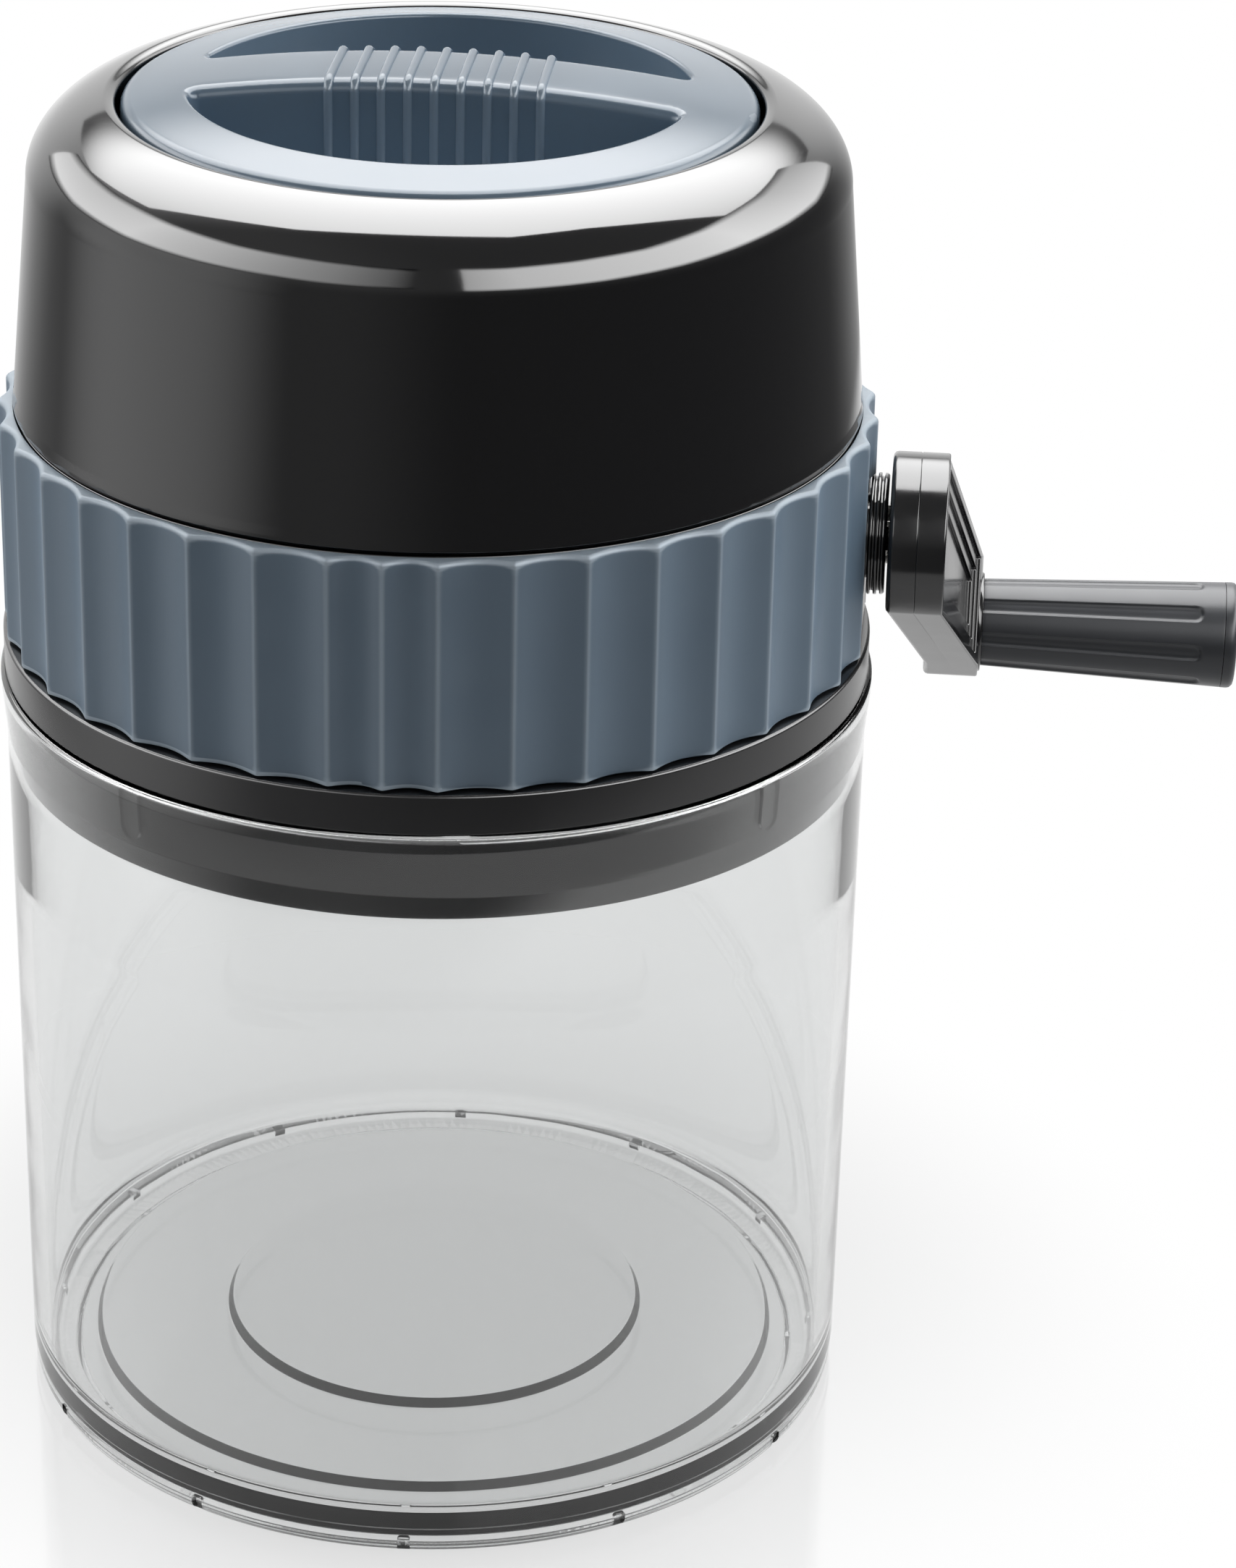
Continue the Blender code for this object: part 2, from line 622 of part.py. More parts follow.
def make_dome(material, head):
    shoulder = (DOME_SHOULDER_REACH, DOME_SHOULDER_RISE)
    centre = (DOME_SHOULDER_RADIUS - DOME_SHOULDER_REACH, DOME_SHOULDER_HEIGHT)
    opening_angle = math.degrees(math.acos((DOME_OPENING_RADIUS + DOME_EDGE_DROP - centre[0]) / shoulder[0]))
    outer = [(DOME_FOOT_RADIUS, DOME_BOTTOM), (DOME_FOOT_RADIUS, DOME_BOTTOM + DOME_FOOT_BEAD / 2)]
    outer += [(DOME_WALL_RADIUS, DOME_BOTTOM + DOME_FOOT_BEAD)]
    outer += arc(centre, shoulder, 0, opening_angle, DOME_SHOULDER_STEPS)
    edge_top = outer[-1][1] - DOME_EDGE_DROP
    collar_low = edge_top - DOME_COLLAR_DEPTH
    inner_shoulder = (shoulder[0] - DOME_WALL, shoulder[1] - DOME_WALL)
    collar_angle = math.degrees(math.acos((DOME_OPENING_RADIUS + DOME_WALL - centre[0]) / inner_shoulder[0]))
    outer += [(DOME_OPENING_RADIUS, edge_top), (DOME_OPENING_RADIUS, collar_low)]
    outer += [(DOME_OPENING_RADIUS + DOME_WALL, collar_low)]
    inner = arc(centre, inner_shoulder, collar_angle, 0, CORNER_STEPS)
    spigot_outer = HOUSING_RADIUS - HOUSING_WALL - MESH_GAP
    inner += [(spigot_outer - DOME_SPIGOT_WALL, DOME_BOTTOM), (spigot_outer - DOME_SPIGOT_WALL,
              DOME_BOTTOM - DOME_SPIGOT_DEPTH), (spigot_outer, DOME_BOTTOM - DOME_SPIGOT_DEPTH)]
    inner += [(spigot_outer, DOME_BOTTOM)]
    verts, faces = turned(outer + inner, SHELL_SEGMENTS)
    return make_object("dome", verts, faces, material, head)


def flute_edges():
    """Turns of the ring's ridges from the front: two narrow flutes there, and two at the back."""
    wide = (math.pi - 2 * RING_NARROW_TURN) / RING_FLUTES_PER_SIDE
    steps = [RING_NARROW_TURN] + [wide] * RING_FLUTES_PER_SIDE + [RING_NARROW_TURN]
    turns = [0.0]
    for step in steps + steps:
        turns.append(turns[-1] + step)
    return turns


def make_grip_ring(material, head):
    """A ring with upright flutes that meet in ridges, notched round the collar."""
    low = BAND_TOP + MESH_GAP
    top = HOUSING_TOP
    inner = HOUSING_RADIUS + MESH_GAP
    edges = flute_edges()
    columns = []
    for start, end in zip(edges, edges[1:]):
        for k in range(RING_FLUTE_POINTS):
            share = k / RING_FLUTE_POINTS
            across = 2 * share - 1
            radius = RING_RIDGE_RADIUS - RING_FLUTE_DEPTH * (1 - across * across)
            columns.append((radius, front_angle(start + (end - start) * share)))

    def row(inset, height):
        return [along_z(radius - inset, height, angle) for radius, angle in columns]

    def circle(height):
        return [along_z(inner, height, angle) for radius, angle in columns]

    rings = [row(0.0, low), row(0.0, top - RING_TOP_ROUNDING), row(RING_TOP_ROUNDING, top), circle(top),
             circle(low)]
    verts, faces = lofted(rings, closed=True)
    ring = make_object("grip_ring", verts, faces, material, head)
    notch = RING_NOTCH_RADIUS
    outline = [(-notch, low - OVERCUT), (notch, low - OVERCUT)]
    outline += round_arc((0.0, SHAFT_HEIGHT), notch, 0, 180, 2 * ARC_STEPS)
    verts, faces = prism(outline, inner - 6 * OVERCUT, RING_RIDGE_RADIUS + OVERCUT, crosswise)
    cut(ring, make_object("notch", verts, faces, None))
    return ring


def make_crusher_body(material, head):
    outline = rectangle(CHUTE_LENGTH, CHUTE_WIDTH, CHUTE_CORNER)
    hollow = rectangle(CHUTE_LENGTH - 2 * CHUTE_WALL, CHUTE_WIDTH - 2 * CHUTE_WALL, CHUTE_CORNER - CHUTE_WALL)
    rings = [
        [upright(a, b, CHUTE_BOTTOM) for a, b in outline], [upright(a, b, CHUTE_TOP) for a, b in outline],
        [upright(a, b, CHUTE_TOP) for a, b in hollow], [upright(a, b, CHUTE_BOTTOM) for a, b in hollow],
    ]
    verts, faces = lofted(rings, closed=True)
    body = make_object("crusher_body", verts, faces, material, head)
    deck = cylinder("deck", DECK_RADIUS, DECK_BOTTOM, DECK_TOP, along_z, segments=HIDDEN_SEGMENTS)
    inside = rectangle(CHUTE_LENGTH - CHUTE_WALL, CHUTE_WIDTH - CHUTE_WALL, CHUTE_CORNER - CHUTE_WALL / 2)
    verts, faces = prism(inside, DECK_BOTTOM - OVERCUT, DECK_TOP + OVERCUT, upright)
    cut(deck, make_object("opening", verts, faces, None))
    join(body, deck)
    for spot in deck_screw_spots():
        cut(body, cylinder("hole", SCREW_RADIUS + MESH_GAP, DECK_BOTTOM - OVERCUT, DECK_TOP + OVERCUT,
                           along_z, spot, HOLE_SEGMENTS))
    bore = BUSH_RADIUS + MESH_GAP
    for side in (-1, 1):
        start, end = sorted((side * (CHUTE_END - CHUTE_WALL - OVERCUT), side * (CHUTE_END + OVERCUT)))
        cut(body, cylinder("bore", bore, start, end, along_x, (0, 0, SHAFT_HEIGHT), BUSH_SEGMENTS))
        for x in (-COMB_SCREW_SPACING / 2, COMB_SCREW_SPACING / 2):
            start, end = sorted((side * (CHUTE_SIDE - CHUTE_WALL - OVERCUT), side * (CHUTE_SIDE + OVERCUT)))
            cut(body, cylinder("hole", SCREW_RADIUS + MESH_GAP, start, end, along_y,
                               (x, 0, SHAFT_HEIGHT + COMB_SCREW_RISE), HOLE_SEGMENTS))
    return body


def make_comb(name, material, side, side_gap, head):
    """A bent plate: a flange on the chute wall and fingers between the blades."""
    wall = CHUTE_SIDE - CHUTE_WALL - MESH_GAP
    flange = wall - COMB_FLANGE_THICKNESS
    low = SHAFT_HEIGHT - COMB_DROP - COMB_THICKNESS
    outline = [
        (COMB_TIP, low), (wall, low), (wall, low + COMB_FLANGE_HEIGHT), (flange, low + COMB_FLANGE_HEIGHT),
        (flange, low + COMB_THICKNESS), (COMB_TIP + COMB_THICKNESS, low + COMB_THICKNESS),
    ]
    half = CHUTE_END - CHUTE_WALL - CHUTE_CORNER / 2
    verts, faces = prism([(side * a, b) for a, b in outline], -half, half, crosswise)
    comb = make_object(name, verts, faces, material, head)
    slot = BLADE_THICKNESS / 2 + side_gap
    for x in blade_stations():
        start, end = sorted((side * (COMB_TIP - OVERCUT), side * (flange - MESH_GAP)))
        high = low + COMB_THICKNESS + OVERCUT
        cut(comb, box("slot", (x - slot, start, low - OVERCUT), (x + slot, end, high)))
    for x in (-COMB_SCREW_SPACING / 2, COMB_SCREW_SPACING / 2):
        start, end = sorted((side * (flange - OVERCUT), side * (wall + OVERCUT)))
        cut(comb, cylinder("hole", SCREW_RADIUS + MESH_GAP, start, end, along_y,
                           (x, 0, SHAFT_HEIGHT + COMB_SCREW_RISE), HOLE_SEGMENTS))
    return comb


def make_screws(steel, head):
    for number, spot in enumerate(deck_screw_spots(), start=1):
        verts, faces = screw_solid(SCREW_LENGTH, along_z)
        seat = spot + Vector((0, 0, DECK_TOP + MESH_GAP))
        make_object(f"deck_screw_{number}", [v + seat for v in verts], faces, steel, head)
    height = SHAFT_HEIGHT + COMB_SCREW_RISE
    number = 0
    for side in (-1, 1):
        for x in (-COMB_SCREW_SPACING / 2, COMB_SCREW_SPACING / 2):
            number += 1
            verts, faces = screw_solid(COMB_SCREW_LENGTH, along_y)
            seat = CHUTE_SIDE + MESH_GAP
            placed = [Vector((x + v.x, side * (seat + v.y), height + v.z)) for v in verts]
            make_object(f"comb_screw_{number}", placed, faces, steel, head)


def throat_point(angle, half_length, half_width, corner):
    """Where a ray from the middle meets a rounded rectangle."""
    c = math.cos(angle)
    s = math.sin(angle)
    reach = min(half_length / max(abs(c), 1e-9), half_width / max(abs(s), 1e-9))
    corner_x = half_length - corner
    corner_y = half_width - corner
    if abs(reach * c) > corner_x and abs(reach * s) > corner_y:
        along = abs(c) * corner_x + abs(s) * corner_y
        reach = along + math.sqrt(along ** 2 - corner_x ** 2 - corner_y ** 2 + corner ** 2)
    return reach * c, reach * s


def make_hopper(material, head):
    """A funnel from the round filling opening to the mouth of the chute."""
    angles = [math.tau * k / HIDDEN_SEGMENTS for k in range(HIDDEN_SEGMENTS)]

    def throat(height, grow):
        points = [throat_point(angle, CHUTE_END + grow, CHUTE_SIDE + grow, CHUTE_CORNER + grow)
                  for angle in angles]
        return [upright(a, b, height) for a, b in points]

    def rim(radius, height):
        return [along_z(radius, height, angle) for angle in angles]

    low = CHUTE_TOP + MESH_GAP
    cone_top = HOPPER_RIM_TOP - HOPPER_RIM_HEIGHT
    rings = [
        throat(low, 0.0), throat(low + HOPPER_WALL, 0.0), rim(HOPPER_RIM_RADIUS, cone_top),
        rim(HOPPER_RIM_RADIUS, HOPPER_RIM_TOP), rim(HOPPER_RIM_RADIUS - HOPPER_WALL, HOPPER_RIM_TOP),
        rim(HOPPER_RIM_RADIUS - HOPPER_WALL, cone_top + HOPPER_WALL / 2),
        throat(low + HOPPER_WALL, -CHUTE_WALL), throat(low, -CHUTE_WALL),
    ]
    verts, faces = lofted(rings, closed=True)
    return make_object("hopper", verts, faces, material, head)


def blade_stations():
    return [BLADE_PITCH * (k - (BLADE_COUNT - 1) / 2) for k in range(BLADE_COUNT)]


def hexagon(corner_radius):
    return [(corner_radius * math.cos(math.tau * k / 6), corner_radius * math.sin(math.tau * k / 6))
            for k in range(6)]


def make_bush(name, material, side, head):
    """A flanged plain bearing in an end wall of the chute."""
    bore = SHAFT_RADIUS + SHAFT_CLEARANCE
    inner_end = CHUTE_END - CHUTE_WALL - MESH_GAP
    seat = CHUTE_END + MESH_GAP
    outer_end = seat + BUSH_FLANGE_THICKNESS
    profile = [(bore, inner_end), (BUSH_RADIUS, inner_end), (BUSH_RADIUS, seat), (BUSH_FLANGE_RADIUS, seat),
               (BUSH_FLANGE_RADIUS, outer_end), (bore, outer_end)]
    verts, faces = turned([(r, side * x) for r, x in profile], BUSH_SEGMENTS, along_x)
    raised = [v + Vector((0, 0, SHAFT_HEIGHT)) for v in verts]
    return make_object(name, raised, faces, material, head)


def make_collar(material, head):
    bore = SHAFT_RADIUS + SHAFT_CLEARANCE
    start = SHAFT_PAD_FACE + MESH_GAP
    neck = COLLAR_RADIUS - COLLAR_GROOVE
    profile = [(bore, start - COLLAR_SPIGOT_LENGTH), (COLLAR_SPIGOT_RADIUS, start - COLLAR_SPIGOT_LENGTH)]
    profile += [(COLLAR_SPIGOT_RADIUS, start), (COLLAR_RADIUS, start)]
    radii = (COLLAR_RADIUS, neck, neck, COLLAR_RADIUS, COLLAR_RADIUS, neck)
    profile += [(radius, start + share * COLLAR_LENGTH) for radius, share in zip(radii, COLLAR_GROOVE_SHARES)]
    profile += [(neck, start + COLLAR_LENGTH), (bore, start + COLLAR_LENGTH)]
    verts, faces = turned(profile, BUSH_SEGMENTS, along_x)
    raised = [v + Vector((0, 0, SHAFT_HEIGHT)) for v in verts]
    return make_object("crank_collar", raised, faces, material, head)


def make_shaft(steel, crank):
    """Round journals with a hexagonal middle and a hexagonal crank end."""
    per_side = SMALL_SEGMENTS // 6
    corners = hexagon(HEX_CORNER_RADIUS)
    hexagonal = []
    for k in range(6):
        here = Vector(corners[k])
        ahead = Vector(corners[(k + 1) % 6])
        hexagonal += [tuple(here.lerp(ahead, i / per_side)) for i in range(per_side)]
    circle = round_arc((0, 0), SHAFT_RADIUS, 0, 360, SMALL_SEGMENTS)[:-1]
    journal = CHUTE_END - CHUTE_WALL - 2 * MESH_GAP
    far_end = -(CHUTE_END + BUSH_FLANGE_THICKNESS + 2 * MESH_GAP + CLIP_THICKNESS + SHAFT_END_MARGIN)
    near_end = HUB_START + HUB_SOCKET_DEPTH - MESH_GAP
    step = MESH_GAP
    stations = [(far_end, circle), (-journal - step, circle), (-journal, hexagonal), (journal, hexagonal),
                (journal + step, circle), (HUB_START - step, circle), (HUB_START, hexagonal),
                (near_end, hexagonal)]
    rings = [[crosswise(a, b, station) for a, b in outline] for station, outline in stations]
    verts, faces = lofted(rings)
    return make_object("drive_shaft", verts, faces, steel, crank)


def make_rotor_blades(steel, crank):
    for number, station in enumerate(blade_stations(), start=1):
        outline = []
        total = BLADE_TEETH * BLADE_POINTS_PER_TOOTH
        for k in range(total):
            share = (k % BLADE_POINTS_PER_TOOTH) / BLADE_POINTS_PER_TOOTH
            tooth = k // BLADE_POINTS_PER_TOOTH
            fall = max(0.0, share - BLADE_HOOK_SHARE) / (1 - BLADE_HOOK_SHARE)
            radius = BLADE_TIP_RADIUS - (BLADE_TIP_RADIUS - BLADE_ROOT_RADIUS) * math.sin(fall * math.pi / 2)
            angle = math.tau * (tooth + share) / BLADE_TEETH + number * BLADE_STAGGER
            outline.append((radius * math.cos(angle), radius * math.sin(angle)))
        start = station - BLADE_THICKNESS / 2
        end = station + BLADE_THICKNESS / 2
        verts, faces = prism(outline, start, end, crosswise)
        blade = make_object(f"rotor_blade_{number}", verts, faces, steel, None)
        verts, faces = prism(hexagon(HEX_CORNER_RADIUS + SHAFT_CLEARANCE), start - OVERCUT, end + OVERCUT,
                             crosswise)
        cut(blade, make_object("hex_bore", verts, faces, None))
        blade.parent = crank


def make_rotor_spacers(material, crank):
    """Sleeves between the blades and out to the bushes."""
    half = BLADE_THICKNESS / 2 + MESH_GAP
    journal = CHUTE_END - CHUTE_WALL - 2 * MESH_GAP
    stations = blade_stations()
    starts = [-journal] + [x + half for x in stations]
    ends = [x - half for x in stations] + [journal]
    outer = round_arc((0, 0), SPACER_RADIUS, 0, 360, 12)[:-1]
    bore_corners = hexagon(HEX_CORNER_RADIUS + SHAFT_CLEARANCE)
    bore = []
    for k in range(6):
        here = Vector(bore_corners[k])
        bore += [tuple(here), tuple(here.lerp(Vector(bore_corners[(k + 1) % 6]), 0.5))]
    for number, (start, end) in enumerate(zip(starts, ends), start=1):
        rings = [[crosswise(a, b, x) for a, b in outline]
                 for outline, x in ((outer, start), (outer, end), (bore, end), (bore, start))]
        verts, faces = lofted(rings, closed=True)
        make_object(f"rotor_spacer_{number}", verts, faces, material, crank)


def make_shaft_clip(steel, crank):
    outer_face = CHUTE_END + MESH_GAP + BUSH_FLANGE_THICKNESS + MESH_GAP
    bore = SHAFT_RADIUS + SHAFT_CLEARANCE
    profile = [(bore, -outer_face), (CLIP_RADIUS, -outer_face), (CLIP_RADIUS, -outer_face - CLIP_THICKNESS),
               (bore, -outer_face - CLIP_THICKNESS)]
    verts, faces = turned(profile, BUSH_SEGMENTS, along_x)
    make_object("shaft_clip", verts, faces, steel, crank)


def slanted(outline, low, high):
    """Extrude an outline between two faces that lean out along the arm and are level at its end."""
    lean = ARM_OFFSET / ARM_LEAN_LENGTH
    return [[crosswise(a, b, x + lean * min(max(a, 0.0), ARM_LEAN_LENGTH)) for a, b in outline]
            for x in (low, high)]


def arm_half_width(along):
    """Half the arm's width at a place between the hub's middle and the grip's axis."""
    sweep = math.radians(ARM_END_SWEEP)
    length = CRANK_THROW + ARM_END_RADIUS * math.cos(sweep)
    return HUB_RADIUS + (ARM_END_RADIUS * math.sin(sweep) - HUB_RADIUS) * along / length


def step_outline(step):
    """One of the nested recesses in the arm's outer face."""
    inset = ARM_RIM_WIDTH + (step - 1) * ARM_STEP_INSET
    start = step * ARM_STEP_START
    end = ARM_STEP_END - (step - 1) * ARM_STEP_SHIFT
    near = arm_half_width(start) - inset
    far = arm_half_width(end) - inset
    return [(start, -near), (end, -far), (end, far), (start, near)]


def make_crank_arm(material, crank):
    """A round hub and an arm that leans out from the hub's middle line."""
    bend = arm_half_width(ARM_LEAN_LENGTH)
    end_arc = round_arc((CRANK_THROW, 0.0), ARM_END_RADIUS, -ARM_END_SWEEP, ARM_END_SWEEP, ARM_END_STEPS)
    hub_arc = round_arc((0.0, 0.0), HUB_RADIUS, 90, 270, HUB_STEPS)
    outline = [(ARM_LEAN_LENGTH, -bend), *end_arc, (ARM_LEAN_LENGTH, bend), *hub_arc]
    verts, faces = lofted(slanted(outline, HUB_START, HUB_FACE))
    count = len(outline)
    top_bend = len(end_arc) + 1
    faces = [face for face in faces if len(face) == 4]
    for shift in (0, count):
        faces.append([shift + k for k in range(top_bend + 1)])
        faces.append([shift + k for k in (0, top_bend, top_bend + 1, count - 1)])
        faces.append([shift + k for k in range(top_bend + 1, count)])
    arm = make_object("crank_arm", verts, faces, material, None)
    for step in range(1, ARM_STEP_COUNT + 1):
        floor = HUB_FACE - step * ARM_STEP_DEPTH
        verts, faces = lofted(slanted(step_outline(step), floor, HUB_FACE + 2 * OVERCUT))
        cut(arm, make_object("step", verts, faces, None))
    seat = HUB_FACE + ARM_OFFSET + GRIP_SEAT_RISE
    join(arm, cylinder("seat", GRIP_SEAT_RADIUS, seat - GRIP_SEAT_DEPTH, seat, along_x, (0, CRANK_THROW, 0)))
    socket = hexagon(HEX_CORNER_RADIUS + SHAFT_CLEARANCE)
    verts, faces = prism(socket, HUB_START - OVERCUT, HUB_START + HUB_SOCKET_DEPTH, crosswise)
    cut(arm, make_object("socket", verts, faces, None))
    hole = AXLE_RADIUS + MESH_GAP
    cut(arm, cylinder("axle_hole", hole, seat - AXLE_HOLD - MESH_GAP, seat + OVERCUT, along_x,
                      (0, CRANK_THROW, 0)))
    arm.parent = crank
    return arm


def make_grip_axle(steel, crank):
    start = GRIP_START - MESH_GAP - AXLE_HOLD
    end = GRIP_START + GRIP_LENGTH - GRIP_CAP_THICKNESS - GRIP_CAP_PLUG - AXLE_HEAD_ROOM
    profile = [(0.0, start), (AXLE_RADIUS, start), (AXLE_RADIUS, end), (0.0, end)]
    verts, faces = turned(profile, SMALL_SEGMENTS, along_x, closed=False)
    make_object("grip_axle", [v + Vector((0, CRANK_THROW, 0)) for v in verts], faces, steel, crank)


def grip_radius(station):
    share = (station - GRIP_START) / GRIP_LENGTH
    return GRIP_ROOT_RADIUS + (GRIP_END_RADIUS - GRIP_ROOT_RADIUS) * share


def make_grip(material, pivot):
    """A tapered sleeve with long sunk panels, open at the arm end."""
    sleeve_end = GRIP_START + GRIP_LENGTH - GRIP_CAP_THICKNESS - MESH_GAP
    panel_end = GRIP_START + GRIP_LENGTH - GRIP_PANEL_END
    half_share = GRIP_PANEL_SHARE / 2
    sunk_share = half_share - GRIP_PANEL_EDGE
    shares = [(-half_share, 0.0), (-sunk_share, 1.0), (0.0, 1.0), (sunk_share, 1.0),
              (half_share, 0.0), (0.5, 0.0)]

    def ring(station, radius, depth):
        points = []
        for panel in range(GRIP_PANELS):
            for share, sunk in shares:
                angle = math.tau * (panel + share) / GRIP_PANELS
                points.append(along_x(radius - depth * sunk, station, angle))
        return points

    rows = [(GRIP_START, 1.0), (panel_end, 1.0), (panel_end + GRIP_PANEL_DEPTH, 0.0), (sleeve_end, 0.0)]
    rings = [ring(x, grip_radius(x), GRIP_PANEL_DEPTH * sunk) for x, sunk in rows]
    rings += [ring(sleeve_end, GRIP_BORE_RADIUS, 0.0), ring(GRIP_START, GRIP_BORE_RADIUS, 0.0)]
    verts, faces = lofted(rings, closed=True)
    make_object("crank_grip", verts, faces, material, pivot)

    end = GRIP_START + GRIP_LENGTH
    radius = grip_radius(end)
    start = end - GRIP_CAP_THICKNESS
    plug = GRIP_BORE_RADIUS - MESH_GAP
    profile = [(0.0, start - GRIP_CAP_PLUG), (plug, start - GRIP_CAP_PLUG), (plug, start), (radius, start)]
    profile += arc((radius - GRIP_CAP_ROUNDING, end - GRIP_CAP_ROUNDING),
                   (GRIP_CAP_ROUNDING, GRIP_CAP_ROUNDING), 0, 90, CORNER_STEPS)
    profile += [(0.0, end)]
    verts, faces = turned(profile, SMALL_SEGMENTS, along_x, closed=False)
    make_object("grip_cap", verts, faces, material, pivot)


def lid_surface(radius):
    """Height of the lid's shallow crown above a radius."""
    return LID_CROWN - (LID_CROWN - LID_RIM_TOP) * (radius / LID_RIM_RADIUS) ** 2


def make_lid(material, lid):
    crown = [(r, lid_surface(r)) for r in (LID_RIM_RADIUS * k / 2 for k in range(2, 0, -1))]
    edge_low = LID_SEAT
    edge_high = LID_SEAT + LID_EDGE_HEIGHT
    shoulder_radius = LID_RADIUS - LID_EDGE_ROUNDING
    profile = [(0.0, LID_PLUG_BOTTOM), (LID_PLUG_RADIUS, LID_PLUG_BOTTOM), (LID_PLUG_RADIUS, edge_low),
               (LID_RADIUS, edge_low), (LID_RADIUS, edge_high)]
    rise = lid_surface(shoulder_radius) - edge_high
    profile += arc((shoulder_radius, edge_high), (LID_EDGE_ROUNDING, rise), LID_EDGE_SWEEP, 90, CORNER_STEPS)
    profile += crown + [(0.0, LID_CROWN)]
    verts, faces = turned(profile, SHELL_SEGMENTS, along_z, closed=False)
    top = make_object("lid_top", verts, faces, material, lid)

    half_bar = LID_BAR_WIDTH / 2
    start = math.degrees(math.asin(half_bar / LID_POCKET_RADIUS))
    crescent = round_arc((0.0, 0.0), LID_POCKET_RADIUS, start, 180 - start, LID_POCKET_STEPS)
    for side in (1, -1):
        outline = [(side * a, side * b) for a, b in crescent]
        verts, faces = prism(outline, LID_POCKET_FLOOR, LID_CROWN + OVERCUT, upright)
        cut(top, make_object("pocket", verts, faces, None))

    rib_low = LID_POCKET_FLOOR - MESH_GAP
    for k in range(LID_RIB_COUNT):
        x = LID_RIB_PITCH * (k - (LID_RIB_COUNT - 1) / 2)
        half = half_bar + LID_RIB_RISE
        high = lid_surface(abs(x)) + LID_RIB_RISE
        corner = LID_BAR_ROUNDING
        outline = [(-half, rib_low), (half, rib_low)]
        outline += round_arc((half - corner, high - corner), corner, 0, 90, CORNER_STEPS)
        outline += round_arc((-half + corner, high - corner), corner, 90, 180, CORNER_STEPS)
        verts, faces = prism(outline, x - LID_RIB_WIDTH / 2, x + LID_RIB_WIDTH / 2, crosswise)
        join(top, make_object("rib", verts, faces, None))

    plate_top = LID_PLUG_BOTTOM - MESH_GAP
    plate_low = plate_top - LID_PLATE_THICKNESS
    radius = LID_PLUG_RADIUS - LID_PLATE_INSET
    rib = LID_PLATE_RIB_RADIUS
    rib_inner = rib - LID_PLATE_RIB_WIDTH
    rib_low = plate_low - LID_PLATE_RIB_HEIGHT
    profile = [
        (0.0, plate_low), (rib_inner, plate_low), (rib_inner, rib_low), (rib, rib_low),
        (rib, plate_low), (radius, plate_low), (radius, plate_top), (0.0, plate_top),
    ]
    verts, faces = turned(profile, HIDDEN_SEGMENTS, along_z, closed=False)
    make_object("lid_underside", verts, faces, material, lid)


def build():
    clear_scene()
    clear_plastic = make_material("clear styrene", (0.93, 0.94, 0.95), 0.03, transmission=0.9)
    black_plastic = make_material("black gloss plastic", (0.006, 0.006, 0.007), 0.12)
    satin_plastic = make_material("black satin plastic", (0.008, 0.008, 0.009), 0.3)
    grey_plastic = make_material("blue grey gloss plastic", (0.12, 0.15, 0.19), 0.15)
    soft_grey = make_material("blue grey soft plastic", (0.11, 0.15, 0.2), 0.55)
    smoke_plastic = make_material("dark grey plastic", (0.035, 0.037, 0.042), 0.2)
    inner_plastic = make_material("dark inner plastic", (0.02, 0.02, 0.022), 0.4)
    bearing_plastic = make_material("natural acetal", (0.75, 0.74, 0.7), 0.35)
    steel = make_material("stainless steel", (0.56, 0.56, 0.55), 0.25, metallic=1.0)

    head = make_pivot("head_pivot", (0.0, 0.0, 0.0))
    lid = make_pivot("lid_pivot", (0.0, 0.0, 0.0), parent=head)
    crank = make_pivot("crank_pivot", (0.0, 0.0, SHAFT_HEIGHT), -CRANK_REST_ANGLE, head)
    grip = make_pivot("grip_pivot", (0.0, CRANK_THROW, 0.0), parent=crank)

    make_jar(clear_plastic)
    make_lower_housing(satin_plastic, head)
    make_dome(black_plastic, head)
    make_grip_ring(soft_grey, head)
    make_hopper(inner_plastic, head)
    make_crusher_body(inner_plastic, head)
    make_comb("coarse_comb", steel, -1, COARSE_SIDE_GAP, head)
    make_comb("fine_comb", steel, 1, FINE_SIDE_GAP, head)
    make_screws(steel, head)
    make_bush("crank_side_bush", bearing_plastic, 1, head)
    make_bush("far_side_bush", bearing_plastic, -1, head)
    make_collar(black_plastic, head)
    make_shaft(steel, crank)
    make_rotor_blades(steel, crank)
    make_rotor_spacers(bearing_plastic, crank)
    make_shaft_clip(steel, crank)
    make_crank_arm(black_plastic, crank)
    make_grip_axle(steel, crank)
    make_grip(smoke_plastic, grip)
    make_lid(grey_plastic, lid)
    bpy.context.view_layer.update()


build()
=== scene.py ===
"""Looks of the hand cranked ice crusher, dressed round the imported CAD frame.

Lengths are millimetres until a mesh is made.  The jar axis is Z, the front is -Y and the
crank axis runs along X.
"""
import math

import bmesh
import bpy
from mathutils import Matrix, Vector
from mathutils.geometry import delaunay_2d_cdt


